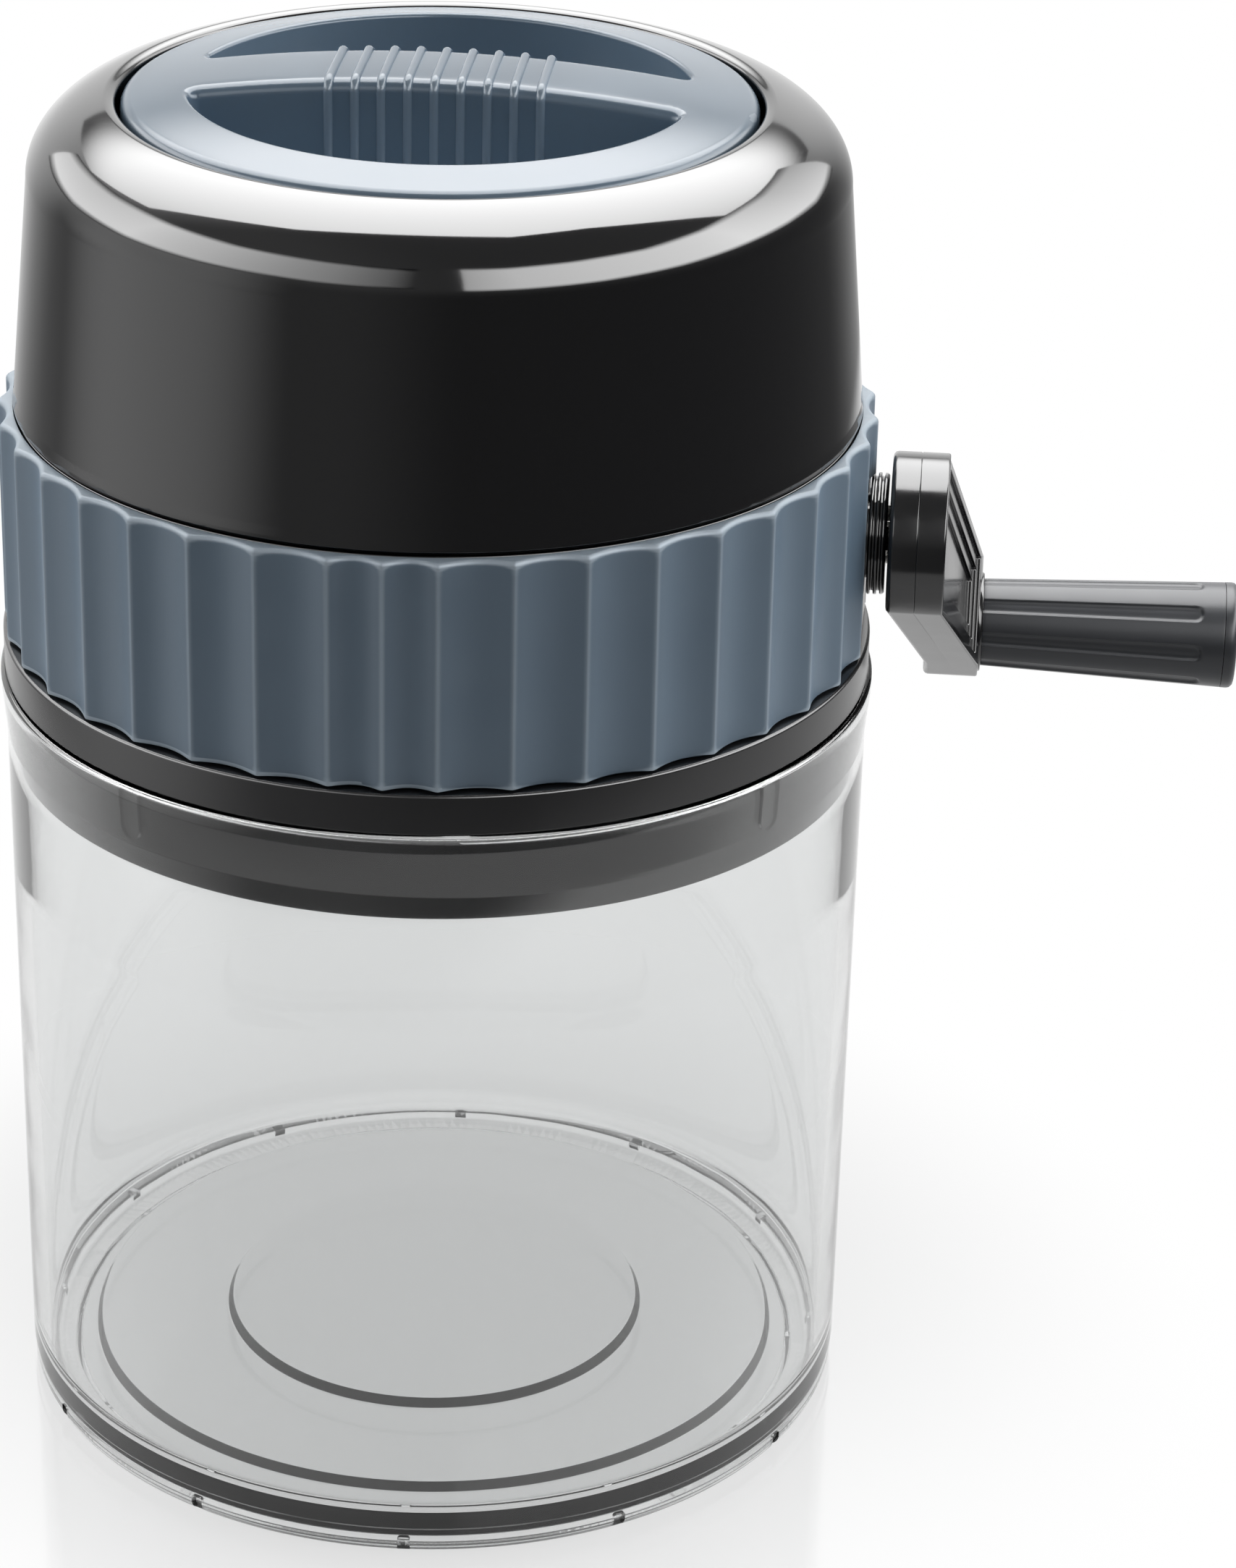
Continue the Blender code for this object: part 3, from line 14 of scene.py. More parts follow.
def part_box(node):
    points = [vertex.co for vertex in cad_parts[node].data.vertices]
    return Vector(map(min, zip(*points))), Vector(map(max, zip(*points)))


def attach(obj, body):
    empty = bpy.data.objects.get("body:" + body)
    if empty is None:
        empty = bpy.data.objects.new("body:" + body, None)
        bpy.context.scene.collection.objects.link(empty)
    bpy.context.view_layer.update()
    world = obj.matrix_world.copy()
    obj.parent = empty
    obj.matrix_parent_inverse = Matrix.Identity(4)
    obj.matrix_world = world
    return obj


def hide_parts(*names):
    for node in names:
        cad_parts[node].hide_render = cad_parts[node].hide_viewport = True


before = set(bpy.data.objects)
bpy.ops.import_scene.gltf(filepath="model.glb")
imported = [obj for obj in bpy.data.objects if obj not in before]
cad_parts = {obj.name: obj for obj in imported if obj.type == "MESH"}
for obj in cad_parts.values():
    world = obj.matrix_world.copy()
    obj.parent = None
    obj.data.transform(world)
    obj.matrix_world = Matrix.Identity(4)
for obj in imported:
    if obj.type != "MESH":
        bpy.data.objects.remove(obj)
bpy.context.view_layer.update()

MM = 0.001

# Fineness of the meshes
SHELL_SEGMENTS = 256
SMALL_SEGMENTS = 96
SMOOTH_ANGLE = math.radians(42)
WELD_DISTANCE = 0.002

# Clearance between seated pieces, as in the CAD
SEAT_GAP = 0.3


def span(node):
    """Lowest and highest corner of a CAD node in millimetres."""
    low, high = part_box(node)
    return Vector(low) / MM, Vector(high) / MM


# Places read from the frame
JAR_TOP = span("jar")[1].z
LIP_RADIUS = span("jar")[1].x
SKIRT_BOTTOM = span("lower_housing")[0].z
HOUSING_TOP = span("lower_housing")[1].z
BAND_RADIUS = span("lower_housing")[1].y
RING_LOW = span("grip_ring")[0].z
RING_RADIUS = -span("grip_ring")[0].y
DOME_SPIGOT_LOW = span("dome")[0].z
COLLAR_FACE = span("crank_collar")[1].x
SHAFT_Z = (span("drive_shaft")[0].z + span("drive_shaft")[1].z) / 2
HUB_START = span("crank_arm")[0].x
ARM_FACE = span("crank_arm")[1].x
GRIP_Y = (span("grip_cap")[0].y + span("grip_cap")[1].y) / 2
GRIP_Z = (span("grip_cap")[0].z + span("grip_cap")[1].z) / 2
GRIP_START = span("crank_grip")[0].x
GRIP_END = span("grip_cap")[1].x
SLEEVE_END = span("crank_grip")[1].x
LID_RADIUS = span("lid_top")[1].x
LID_PLUG_LOW = span("lid_top")[0].z
HOPPER_TOP = span("hopper")[1].z
HOPPER_LOW = span("hopper")[0].z
HOPPER_RADIUS = span("hopper")[1].y
DECK_RADIUS = span("crusher_body")[1].y
CHUTE_LOW = span("crusher_body")[0].z
CHUTE_TOP = span("crusher_body")[1].z
THROW = math.hypot(GRIP_Y, SHAFT_Z - GRIP_Z)
ARM_ALONG = Vector((GRIP_Y, GRIP_Z - SHAFT_Z)) / THROW
ARM_ACROSS = Vector((-ARM_ALONG.y, ARM_ALONG.x))

# Jar
JAR_BORE = 57.0
JAR_SIDE = 58.45
JAR_FOOT = 57.7
JAR_WALL = 2.0
JAR_FLOOR = 5.0
FLOOR_STEP = 1.0
FOOT_RING_WIDTH = 5.6
FOOT_RECESS = 0.8
LIP_DEPTH = 9.5
BORE_DEPTH = 14.0
KEY_COUNT = 8
KEY_TURN = math.radians(9.3)
KEY_HEIGHT = 6.2
KEY_WIDTH = 2.6
KEY_PROUD = 0.6
FOOT_NOTCHES = 12
FOOT_NOTCH_TURN = math.radians(2.8)
# Width, height and depth of a notch
FOOT_NOTCH = (1.7, 2.8, 1.0)

# Head
BAND_TOP = RING_LOW - SEAT_GAP
HOUSING_RADIUS = 55.9
HOUSING_WALL = 1.6
LEDGE_TOP = BAND_TOP - 2.04
LEDGE_THICKNESS = 2.8
LEDGE_RADIUS = 47.0
PAD_RADIUS = 8.3
PAD_FACE = 57.5
BOSS_RADIUS = 3.5
DOME_FOOT = 56.2
DOME_WALL = 2.2
SHOULDER_FOOT = 53.53
SHOULDER_Z = 175.78
# Radii of the dome's elliptical shoulder, across and upwards
SHOULDER = (14.13, 10.72)
OPENING_RADIUS = 41.8
NOTCH_RADIUS = 8.6

# Flutes of the grip ring, as turns from the front
FLUTE_TURN = 9.244
NARROW_FLUTE_TURN = 6.8
WIDE_FLUTES = 36
FLUTE_COLUMNS = 12
FLUTE_DEPTH = 1.2
RIDGE_ROUNDING = 0.35
RING_EDGE = 0.65

# Chute and hopper
CHUTE_END = 31.0
CHUTE_SIDE = 24.0
CHUTE_WALL = 2.5
CHUTE_CORNER = 5.0
DECK_THICKNESS = 2.5

# Shaft, bearings and combs
SHAFT_RADIUS = 4.0
SHAFT_BORE = 4.3
BUSH_RADIUS = 5.7
FLANGE_RADIUS = 8.0
# Radius and length of the collar's spigot
COLLAR_SPIGOT = (6.0, 5.0)
COLLAR_RADIUS = 8.15
COLLAR_GROOVE = 7.65
SPACER_RADIUS = 7.0
CLIP_RADIUS = 6.2
COARSE_SLOT = 3.0
FINE_SLOT = 2.0

# Lid
CROWN = 190.0
RIM_Z = 187.4
RIM_RADIUS = 33.0
LID_EDGE = 1.6
POCKET_RADIUS = 32.8
POCKET_FLOOR = 178.0
POCKET_CORNER = 1.4
BAR_HALF = 7.5
RIB_COUNT = 9
RIB_PITCH = 3.4
RIB_RADIUS = 0.62
# Inner and outer radius of the rim under the lid
UNDER_RIM = (28.9, 30.5)

# Crank and grip
HUB_RADIUS = 11.1
HUB_LENGTH = 7.6
ARM_END = 7.7
ARM_LEAN = 5.3
LEAN_LENGTH = 30.0
ARM_RIM = 1.3
RECESS_INSET = 1.9
RECESS_DEPTH = 0.45
RECESS_START = 0.4
RECESS_END = 27.8
RECESS_SHIFT = 0.5
SEAT_RADIUS = 6.9
GRIP_RADII = (6.1, 7.4)
GRIP_PANELS = 8
PANEL_SHARE = 0.46
PANEL_DEPTH = 0.35
PANEL_END = 4.8
AXLE_BORE = 3.0
AXLE_RADIUS = 2.5


def about_jar(radius, height, angle):
    return Vector((radius * math.cos(angle), radius * math.sin(angle), height))


def about_shaft(radius, station, angle):
    return Vector((station, radius * math.cos(angle), SHAFT_Z + radius * math.sin(angle)))


def about_grip(radius, station, angle):
    return Vector((station, GRIP_Y + radius * math.cos(angle), GRIP_Z + radius * math.sin(angle)))


def upright(a, b, station):
    return Vector((a, b, station))


def crosswise(a, b, station):
    return Vector((station, a, b))


def on_crank(a, b, station):
    """A place on the crank: a along the arm, b across it, station along the shaft."""
    across = a * ARM_ALONG + b * ARM_ACROSS
    return Vector((station, across.x, SHAFT_Z + across.y))


def front(turn):
    """Angle from +X of a place a turn away from the front."""
    return turn - math.pi / 2


def arc(centre, radii, start, end, steps):
    """Points on an elliptical arc, ends included; angles in degrees."""
    points = []
    for k in range(steps + 1):
        angle = math.radians(start + (end - start) * k / steps)
        points.append((centre[0] + radii[0] * math.cos(angle), centre[1] + radii[1] * math.sin(angle)))
    return points


def filleted(corners, closed=True):
    """Round an outline; each corner is (a, b) or (a, b, rounding)."""
    points = []
    count = len(corners)
    for k, corner in enumerate(corners):
        here = Vector(corner[:2])
        open_end = not closed and k in (0, count - 1)
        if len(corner) == 2 or open_end:
            points.append(tuple(here))
            continue
        back = Vector(corners[k - 1][:2]) - here
        ahead = Vector(corners[(k + 1) % count][:2]) - here
        half = back.angle(ahead) / 2
        reach = min(corner[2] / math.tan(half), 0.49 * back.length, 0.49 * ahead.length)
        radius = reach * math.tan(half)
        middle = here + (back.normalized() + ahead.normalized()).normalized() * radius / math.sin(half)
        first = here + back.normalized() * reach - middle
        last = here + ahead.normalized() * reach - middle
        steps = max(3, min(10, round(radius * 4)))
        for i in range(steps + 1):
            points.append(tuple(middle + first.lerp(last, i / steps).normalized() * radius))
    return points


def spun(outline, place=about_jar, segments=SHELL_SEGMENTS, closed=True):
    """Turn an outline of (radius, station); an open one starts and ends on the axis."""
    verts = []
    rows = []
    for radius, station in outline:
        if radius < 1e-6:
            rows.append([len(verts)] * segments)
            verts.append(place(0.0, station, 0.0))
            continue
        rows.append([len(verts) + k for k in range(segments)])
        verts += [place(radius, station, math.tau * k / segments) for k in range(segments)]
    pairs = list(zip(rows, rows[1:]))
    if closed:
        pairs.append((rows[-1], rows[0]))
    faces = []
    for low, high in pairs:
        for k in range(segments):
            n = (k + 1) % segments
            face = list(dict.fromkeys([low[k], low[n], high[n], high[k]]))
            if len(face) > 2:
                faces.append(face)
    return verts, faces


def lofted(rings, closed=False):
    """Skin rings of equal length: a closed loop of rings, or a capped tube."""
    count = len(rings[0])
    verts = [point for ring in rings for point in ring]
    faces = []
    pairs = list(zip(range(len(rings)), range(1, len(rings))))
    if closed:
        pairs.append((len(rings) - 1, 0))
    for low, high in pairs:
        for k in range(count):
            n = (k + 1) % count
            faces.append([low * count + k, low * count + n, high * count + n, high * count + k])
    if not closed:
        last = (len(rings) - 1) * count
        faces.append(list(range(count))[::-1])
        faces.append([last + k for k in range(count)])
    return verts, faces


def open_loft(rings, cap=False):
    """Skin rings without end faces, or with one on the last ring."""
    verts, faces = lofted(rings)
    return verts, faces[:-2] + (faces[-1:] if cap else [])


def within(point, outline):
    """Even-odd test of a point in an outline."""
    inside = False
    for k in range(len(outline)):
        a = outline[k - 1]
        b = outline[k]
        if (a[1] > point.y) != (b[1] > point.y):
            crossing = a[0] + (point.y - a[1]) * (b[0] - a[0]) / (b[1] - a[1])
            if point.x < crossing:
                inside = not inside
    return inside


def skin(loops, lift, extra=(), folds=()):
    """Triangles between the first loop and those inside it, lifted off the plane."""
    flat = []
    edges = list(folds)
    for loop in loops:
        first = len(flat)
        edges += [(first + k, first + (k + 1) % len(loop)) for k in range(len(loop))]
        flat += [Vector(spot) for spot in loop]
    flat += [Vector(spot) for spot in extra]
    points, _, triangles, _, _, _ = delaunay_2d_cdt(flat, edges, [], 0, 1e-5)
    faces = []
    for triangle in triangles:
        middle = sum((points[k] for k in triangle), Vector((0, 0))) / 3
        if within(middle, loops[0]) and not any(within(middle, loop) for loop in loops[1:]):
            faces.append(list(triangle))
    return [lift(p.x, p.y) for p in points], faces


def grown(outline, distance):
    """Move a closed outline outwards by a small distance."""
    count = len(outline)
    area = sum(outline[k - 1][0] * outline[k][1] - outline[k][0] * outline[k - 1][1] for k in range(count))
    hand = 1.0 if area > 0 else -1.0
    points = []
    for k in range(count):
        here = Vector(outline[k])
        back = (here - Vector(outline[k - 1])).normalized()
        ahead = (Vector(outline[(k + 1) % count]) - here).normalized()
        along = (back + ahead).normalized()
        out = Vector((along.y, -along.x)) * hand
        points.append(tuple(here + out * distance / max(0.4, along.dot(ahead))))
    return points


def edge_rows(low, high, edge, steps=3):
    """(inset, station) rows of a slab with rounded edges."""
    rows = []
    for k in range(steps + 1):
        angle = math.pi / 2 * k / steps
        rows.append((edge * (1 - math.sin(angle)), low + edge * (1 - math.cos(angle))))
    return rows + [(inset, low + high - station) for inset, station in reversed(rows)]


def slab(outline, low, high, place, edge=0.3, hole=None):
    """Extrude an outline with rounded edges; a hole has as many points as the outline."""
    rows = edge_rows(low, high, edge)
    rings = [[place(a, b, station) for a, b in grown(outline, -inset)] for inset, station in rows]
    if hole:
        rings += [[place(a, b, station) for a, b in grown(hole, inset)] for inset, station in reversed(rows)]
    return lofted(rings, closed=bool(hole))


def swept(path, radius, side, sides=14, end_steps=4):
    """A round bar with domed ends along a flat path; side is normal to the path's plane."""
    rings = []

    def ring(middle, along, size):
        up = along.cross(side)
        return [middle + side * size * math.cos(t) + up * size * math.sin(t)
                for t in (math.tau * k / sides for k in range(sides))]

    count = len(path)
    for k, here in enumerate(path):
        along = (path[min(k + 1, count - 1)] - path[max(k - 1, 0)]).normalized()
        if k == 0:
            for i in range(1, end_steps):
                t = math.pi / 2 * i / end_steps
                rings.append(ring(here - along * radius * math.cos(t), along, radius * math.sin(t)))
        rings.append(ring(here, along, radius))
        if k == count - 1:
            for i in range(end_steps - 1, 0, -1):
                t = math.pi / 2 * i / end_steps
                rings.append(ring(here + along * radius * math.cos(t), along, radius * math.sin(t)))
    return lofted(rings)


def merged(parts):
    verts = []
    faces = []
    for part_verts, part_faces in parts:
        shift = len(verts)
        verts += part_verts
        faces += [[shift + k for k in face] for face in part_faces]
    return verts, faces


def mesh_object(name, parts):
    """Make an object in metres from parts in millimetres."""
    verts, faces = merged(parts)
    mesh = bpy.data.meshes.new(name)
    mesh.from_pydata([tuple(v * MM) for v in verts], [], faces)
    tidy_mesh(mesh)
    obj = bpy.data.objects.new(name, mesh)
    bpy.context.scene.collection.objects.link(obj)
    return obj


def tidy_mesh(mesh):
    """Weld, turn the faces outwards and shade smooth between sharp edges."""
    shape = bmesh.new()
    shape.from_mesh(mesh)
    bmesh.ops.remove_doubles(shape, verts=shape.verts, dist=WELD_DISTANCE * MM)
    bmesh.ops.recalc_face_normals(shape, faces=shape.faces)
    shape.to_mesh(mesh)
    shape.free()
    mesh.shade_smooth()
    mesh.set_sharp_from_angle(angle=SMOOTH_ANGLE)


def cut(target, parts):
    """Cut parts out of an object."""
    tool = mesh_object("tool", parts)
    modifier = target.modifiers.new("cut", "BOOLEAN")
    modifier.operation = "DIFFERENCE"
    modifier.object = tool
    modifier.solver = "EXACT"
    graph = bpy.context.evaluated_depsgraph_get()
    result = bpy.data.meshes.new_from_object(target.evaluated_get(graph))
    target.modifiers.remove(modifier)
    old = target.data
    target.data = result
    bpy.data.meshes.remove(old)
    spare = tool.data
    bpy.data.objects.remove(tool, do_unlink=True)
    bpy.data.meshes.remove(spare)
    tidy_mesh(result)


def dress(obj, material, body, nodes=None, bevel=0.0):
    """Give a piece its material, its body, weighted normals and, if asked, edge rounding, and hide the CAD
    nodes it stands for.
    """
    obj.data.materials.clear()
    obj.data.materials.append(material)
    if bevel:
        rounding = obj.modifiers.new("edge rounding", "BEVEL")
        rounding.width = bevel * MM
        rounding.segments = 3
        rounding.limit_method = "ANGLE"
        rounding.angle_limit = SMOOTH_ANGLE
        rounding.harden_normals = False
    weighted = obj.modifiers.new("weighted normals", "WEIGHTED_NORMAL")
    weighted.keep_sharp = True
    weighted.weight = 60
    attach(obj, body)
    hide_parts(*(nodes or [obj.name.removesuffix("_look")]))
    return obj


def look(node, parts):
    return mesh_object(f"{node}_look", parts)


def turned_piece(node, corners, material, body, place=about_jar, segments=SHELL_SEGMENTS, closed=True):
    """A piece turned from (radius, station, rounding) corners."""
    piece = look(node, [spun(filleted(corners, closed), place, segments, closed)])
    dress(piece, material, body)


def linear(colour):
    """Scene colour of an sRGB hex value."""
    values = [int(colour[k:k + 2], 16) / 255 for k in (1, 3, 5)]
    return (*[v / 12.92 if v <= 0.04045 else ((v + 0.055) / 1.055) ** 2.4 for v in values], 1.0)


def add_node(tree, kind, settings=None, links=None):
    """Add a node with its settings and input values, and link its inputs."""
    node = tree.nodes.new(kind)
    for key, value in (settings or {}).items():
        if isinstance(key, str) and hasattr(node, key):
            setattr(node, key, value)
        else:
            node.inputs[key].default_value = value
    for key, socket in (links or {}).items():
        tree.links.new(socket, node.inputs[key])
    return node


def ramp(tree, value, low, high, start, end):
    """Smooth change from start to end while a value goes from low to high."""
    return add_node(tree, "ShaderNodeMapRange",
                    {"interpolation_type": "SMOOTHSTEP", "From Min": low, "From Max": high,
                     "To Min": start, "To Max": end}, {"Value": value}).outputs["Result"]


def new_material(name):
    material = bpy.data.materials.new(name)
    material.use_nodes = True
    tree = material.node_tree
    tree.nodes.clear()
    place = add_node(tree, "ShaderNodeTexCoord")
    in_mm = add_node(tree, "ShaderNodeVectorMath", {"operation": "SCALE", "Scale": 1 / MM},
                     {0: place.outputs["Object"]})
    return material, tree, in_mm.outputs["Vector"]


def moulded(name, colour, roughness, ior, grain, waviness, smear, stretch=(1.0, 1.0, 1.0), edge_highlight=None):
    """A moulded plastic.

    grain and waviness are (pattern, depth) in mm; smear is (patch in mm, change of roughness);
    stretch draws the grain out along the axes in which it is below 1; the last argument is a
    painted highlight: the lighter colour painted on sharp outer edges, with the sharpness at which it starts
    and ends.
    """
    material, tree, place = new_material(name)
    drawn = add_node(tree, "ShaderNodeVectorMath", {"operation": "MULTIPLY", 1: stretch}, {0: place})
    fine = add_node(tree, "ShaderNodeTexNoise", {"Scale": 1 / grain[0], "Detail": 2.0},
                    {"Vector": drawn.outputs["Vector"]})
    broad = add_node(tree, "ShaderNodeTexNoise", {"Scale": 1 / waviness[0], "Detail": 1.0},
                     {"Vector": place})
    patches = add_node(tree, "ShaderNodeTexNoise", {"Scale": 1 / smear[0], "Detail": 3.0},
                       {"Vector": place})
    varied = add_node(tree, "ShaderNodeMapRange",
                      {"To Min": roughness - smear[1], "To Max": roughness + smear[1]},
                      {"Value": patches.outputs["Fac"]})
    wavy = add_node(tree, "ShaderNodeBump", {"Distance": waviness[1] * MM},
                    {"Height": broad.outputs["Fac"]})
    grainy = add_node(tree, "ShaderNodeBump", {"Distance": grain[1] * MM},
                      {"Height": fine.outputs["Fac"], "Normal": wavy.outputs["Normal"]})
    shader = add_node(tree, "ShaderNodeBsdfPrincipled", {"Base Color": linear(colour), "IOR": ior},
                      {"Roughness": varied.outputs["Result"], "Normal": grainy.outputs["Normal"]})
    # Painted highlight: sharp outer edges, found by pointiness, get a lighter colour
    if edge_highlight:
        edges = add_node(tree, "ShaderNodeNewGeometry").outputs["Pointiness"]
        highlighted = add_node(tree, "ShaderNodeMix",
                          {"data_type": "RGBA", "A": linear(colour), "B": linear(edge_highlight[0])},
                          {"Factor": ramp(tree, edges, edge_highlight[1], edge_highlight[2], 0.0, 1.0)})
        tree.links.new(highlighted.outputs["Result"], shader.inputs["Base Color"])
    add_node(tree, "ShaderNodeOutputMaterial", None, {"Surface": shader.outputs["BSDF"]})
    return material


# Clear styrene: (pattern, depth) of its flow waves in mm, and what it absorbs in each mm
FLOW_WAVES = (14.0, 0.02)
STYRENE_ABSORPTION = 0.02


def clear_styrene():
    """Injection-moulded clear polystyrene: faint flow waves, and a grey cast where it is thick."""
    material, tree, place = new_material("clear_styrene")
    pattern, depth = FLOW_WAVES
    flow = add_node(tree, "ShaderNodeTexNoise", {"Scale": 1 / pattern, "Detail": 1.0}, {"Vector": place})
    wavy = add_node(tree, "ShaderNodeBump", {"Distance": depth * MM}, {"Height": flow.outputs["Fac"]})
    shader = add_node(tree, "ShaderNodeBsdfPrincipled",
                      {"Base Color": linear("#F1F2F2"), "Roughness": 0.015, "IOR": 1.57,
                       "Transmission Weight": 1.0},
                      {"Normal": wavy.outputs["Normal"]})
    clear = add_node(tree, "ShaderNodeBsdfTransparent", {"Color": linear("#F2F3F3")})
    path = add_node(tree, "ShaderNodeLightPath")
    passing = add_node(tree, "ShaderNodeMath", {"operation": "MAXIMUM"},
                       {0: path.outputs["Is Shadow Ray"], 1: path.outputs["Is Diffuse Ray"]})
    mixed = add_node(tree, "ShaderNodeMixShader", None,
                     {0: passing.outputs["Value"], 1: shader.outputs["BSDF"], 2: clear.outputs["BSDF"]})
    dimming = add_node(tree, "ShaderNodeVolumeAbsorption",
                       {"Color": linear("#000000"), "Density": STYRENE_ABSORPTION / MM})
    add_node(tree, "ShaderNodeOutputMaterial", None,
             {"Surface": mixed.outputs["Shader"], "Volume": dimming.outputs["Volume"]})
    return material


def gloss_black_abs():
    """Polished black ABS: deep black with mirror-like soft reflections and a faint moulding wave."""
    return moulded("gloss_black_abs", "#0B0B0D", 0.07, 1.54, (0.6, 0.0004), (9.0, 0.006), (18.0, 0.02))


def crank_black_abs():
    """Black ABS of the crank: polished, with sink waves and finger wear that soften what it mirrors."""
    return moulded("crank_black_abs", "#0C0C0E", 0.15, 1.5, (0.6, 0.0005), (5.0, 0.012), (6.0, 0.07))


def satin_black_abs():
    """Black ABS from a brushed mould: fine streaks round the band spread its reflections."""
    return moulded("satin_black_abs", "#0E0E10", 0.24, 1.52, (0.3, 0.0006), (9.0, 0.006), (12.0, 0.05),
                   (0.08, 0.08, 1.0))


def gloss_grey_abs():
    """Polished blue grey ABS of the lid: coloured body under the same clear gloss, with a painted highlight
    of lighter grey on its sharp edges.
    """
    return moulded("gloss_grey_abs", "#687A8A", 0.19, 1.34, (0.5, 0.0006), (8.0, 0.005), (15.0, 0.04),
                   edge_highlight=("#8493A0", 0.53, 0.56))


def soft_touch_tpe():
    """Moulded soft-touch elastomer: matt, fine grained, with a dim broad sheen and a painted highlight of
    lighter grey on its ridges and sharp edges.
    """
    return moulded("soft_touch_tpe", "#495A69", 0.44, 1.48, (0.12, 0.006), (6.0, 0.01), (9.0, 0.06),
                   edge_highlight=("#84919C", 0.506, 0.53))


def smoke_abs():
    """Dark grey ABS of the grip, a little less polished where fingers rub it."""
    return moulded("smoke_abs", "#24262A", 0.35, 1.38, (0.4, 0.001), (6.0, 0.005), (7.0, 0.05))


def black_polypropylene():
    """Moulded polypropylene with a spark-eroded mould grain, satin black."""
    return moulded("black_polypropylene", "#17181A", 0.38, 1.49, (0.16, 0.006), (7.0, 0.01), (12.0, 0.06))


def natural_acetal():
    """Machined natural acetal: off-white, waxy and slightly uneven."""
    return moulded("natural_acetal", "#E4E1D8", 0.32, 1.48, (0.3, 0.002), (5.0, 0.006), (6.0, 0.05))


def stamped_steel():
    """Stamped and tumbled stainless steel: fine scratches along the sheet blur its reflections."""
    material, tree, place = new_material("stamped_stainless_steel")
    stretched = add_node(tree, "ShaderNodeVectorMath", {"operation": "MULTIPLY", 1: (1.0, 0.06, 1.0)},
                         {0: place})
    scratches = add_node(tree, "ShaderNodeTexNoise", {"Scale": 1 / 0.14, "Detail": 3.0},
                         {"Vector": stretched.outputs["Vector"]})
    varied = add_node(tree, "ShaderNodeMapRange", {"To Min": 0.2, "To Max": 0.36},
                      {"Value": scratches.outputs["Fac"]})
    scored = add_node(tree, "ShaderNodeBump", {"Distance": 0.002 * MM},
                      {"Height": scratches.outputs["Fac"]})
    shader = add_node(tree, "ShaderNodeBsdfPrincipled",
                      {"Base Color": linear("#C3C2BE"), "Metallic": 1.0, "Anisotropic": 0.3},
                      {"Roughness": varied.outputs["Result"], "Normal": scored.outputs["Normal"]})
    add_node(tree, "ShaderNodeOutputMaterial", None, {"Surface": shader.outputs["BSDF"]})
    return material


def bars_round_jar(outline, radii, count, turn):
    """Bars of an upright outline from one radius to another, spaced round the jar axis."""
    bars = []
    for k in range(count):
        angle = front(turn + math.tau * k / count)
        out = Vector((math.cos(angle), math.sin(angle), 0.0))
        side = Vector((-math.sin(angle), math.cos(angle), 0.0))
        bars.append(lofted([[out * r + side * a + Vector((0, 0, b)) for a, b in outline] for r in radii]))
    return bars


def key_bars(inner, outer, width, low, top):
    """Upright bars with round lower ends, for the keys and their grooves."""
    half = width / 2
    outline = [(half, top), (-half, top)] + arc((0.0, low + half), (half, half), 180, 360, 10)
    return bars_round_jar(outline, (inner, outer), KEY_COUNT, KEY_TURN)


def make_jar(material):
    """Clear jar: thick lip, guide grooves, stepped floor and notched foot."""
    foot_flat = JAR_FOOT - FOOT_RING_WIDTH
    bore_low = JAR_TOP - BORE_DEPTH
    outer = [
        (0.0, FOOT_RECESS), (foot_flat - FOOT_RECESS, FOOT_RECESS, 0.4), (foot_flat, 0.0, 0.5),
        (JAR_FOOT, 0.0, 2.0),
        (JAR_FOOT + 0.05, 4.1, 0.1), (JAR_FOOT + 0.2, 4.4, 0.1),
        (JAR_SIDE, JAR_TOP - LIP_DEPTH + 1.3, 4.0), (LIP_RADIUS, JAR_TOP - 1.8, 4.0),
        (LIP_RADIUS, JAR_TOP, 0.7), (JAR_BORE, JAR_TOP, 0.5),
    ]
    inner = [
        (JAR_BORE, bore_low + 2.0, 60.0), (JAR_SIDE - JAR_WALL, bore_low - 14.0, 60.0),
        (JAR_FOOT - JAR_WALL, JAR_FLOOR, 4.5), (49.0, JAR_FLOOR, 0.5), (48.2, JAR_FLOOR + FLOOR_STEP, 0.5),
        (30.0, JAR_FLOOR + FLOOR_STEP, 0.5), (29.2, JAR_FLOOR + 2 * FLOOR_STEP, 0.5),
        (0.0, JAR_FLOOR + 2 * FLOOR_STEP),
    ]
    jar = look("jar", [spun(filleted(outer + inner, closed=False), closed=False)])
    width = KEY_WIDTH + 2 * SEAT_GAP
    low = JAR_TOP - KEY_HEIGHT - width / 2
    grooves = key_bars(JAR_BORE - 1.0, JAR_BORE + KEY_PROUD, width, low, JAR_TOP + 1.0)
    cut(jar, grooves)
    width, height, depth = FOOT_NOTCH
    outline = filleted([(-width / 2, -1.0), (width / 2, -1.0), (width / 2, height, 0.4),
                        (-width / 2, height, 0.4)])
    cut(jar, bars_round_jar(outline, (JAR_FOOT - depth, JAR_FOOT + 1.0), FOOT_NOTCHES, FOOT_NOTCH_TURN))
    dress(jar, material, "jar")


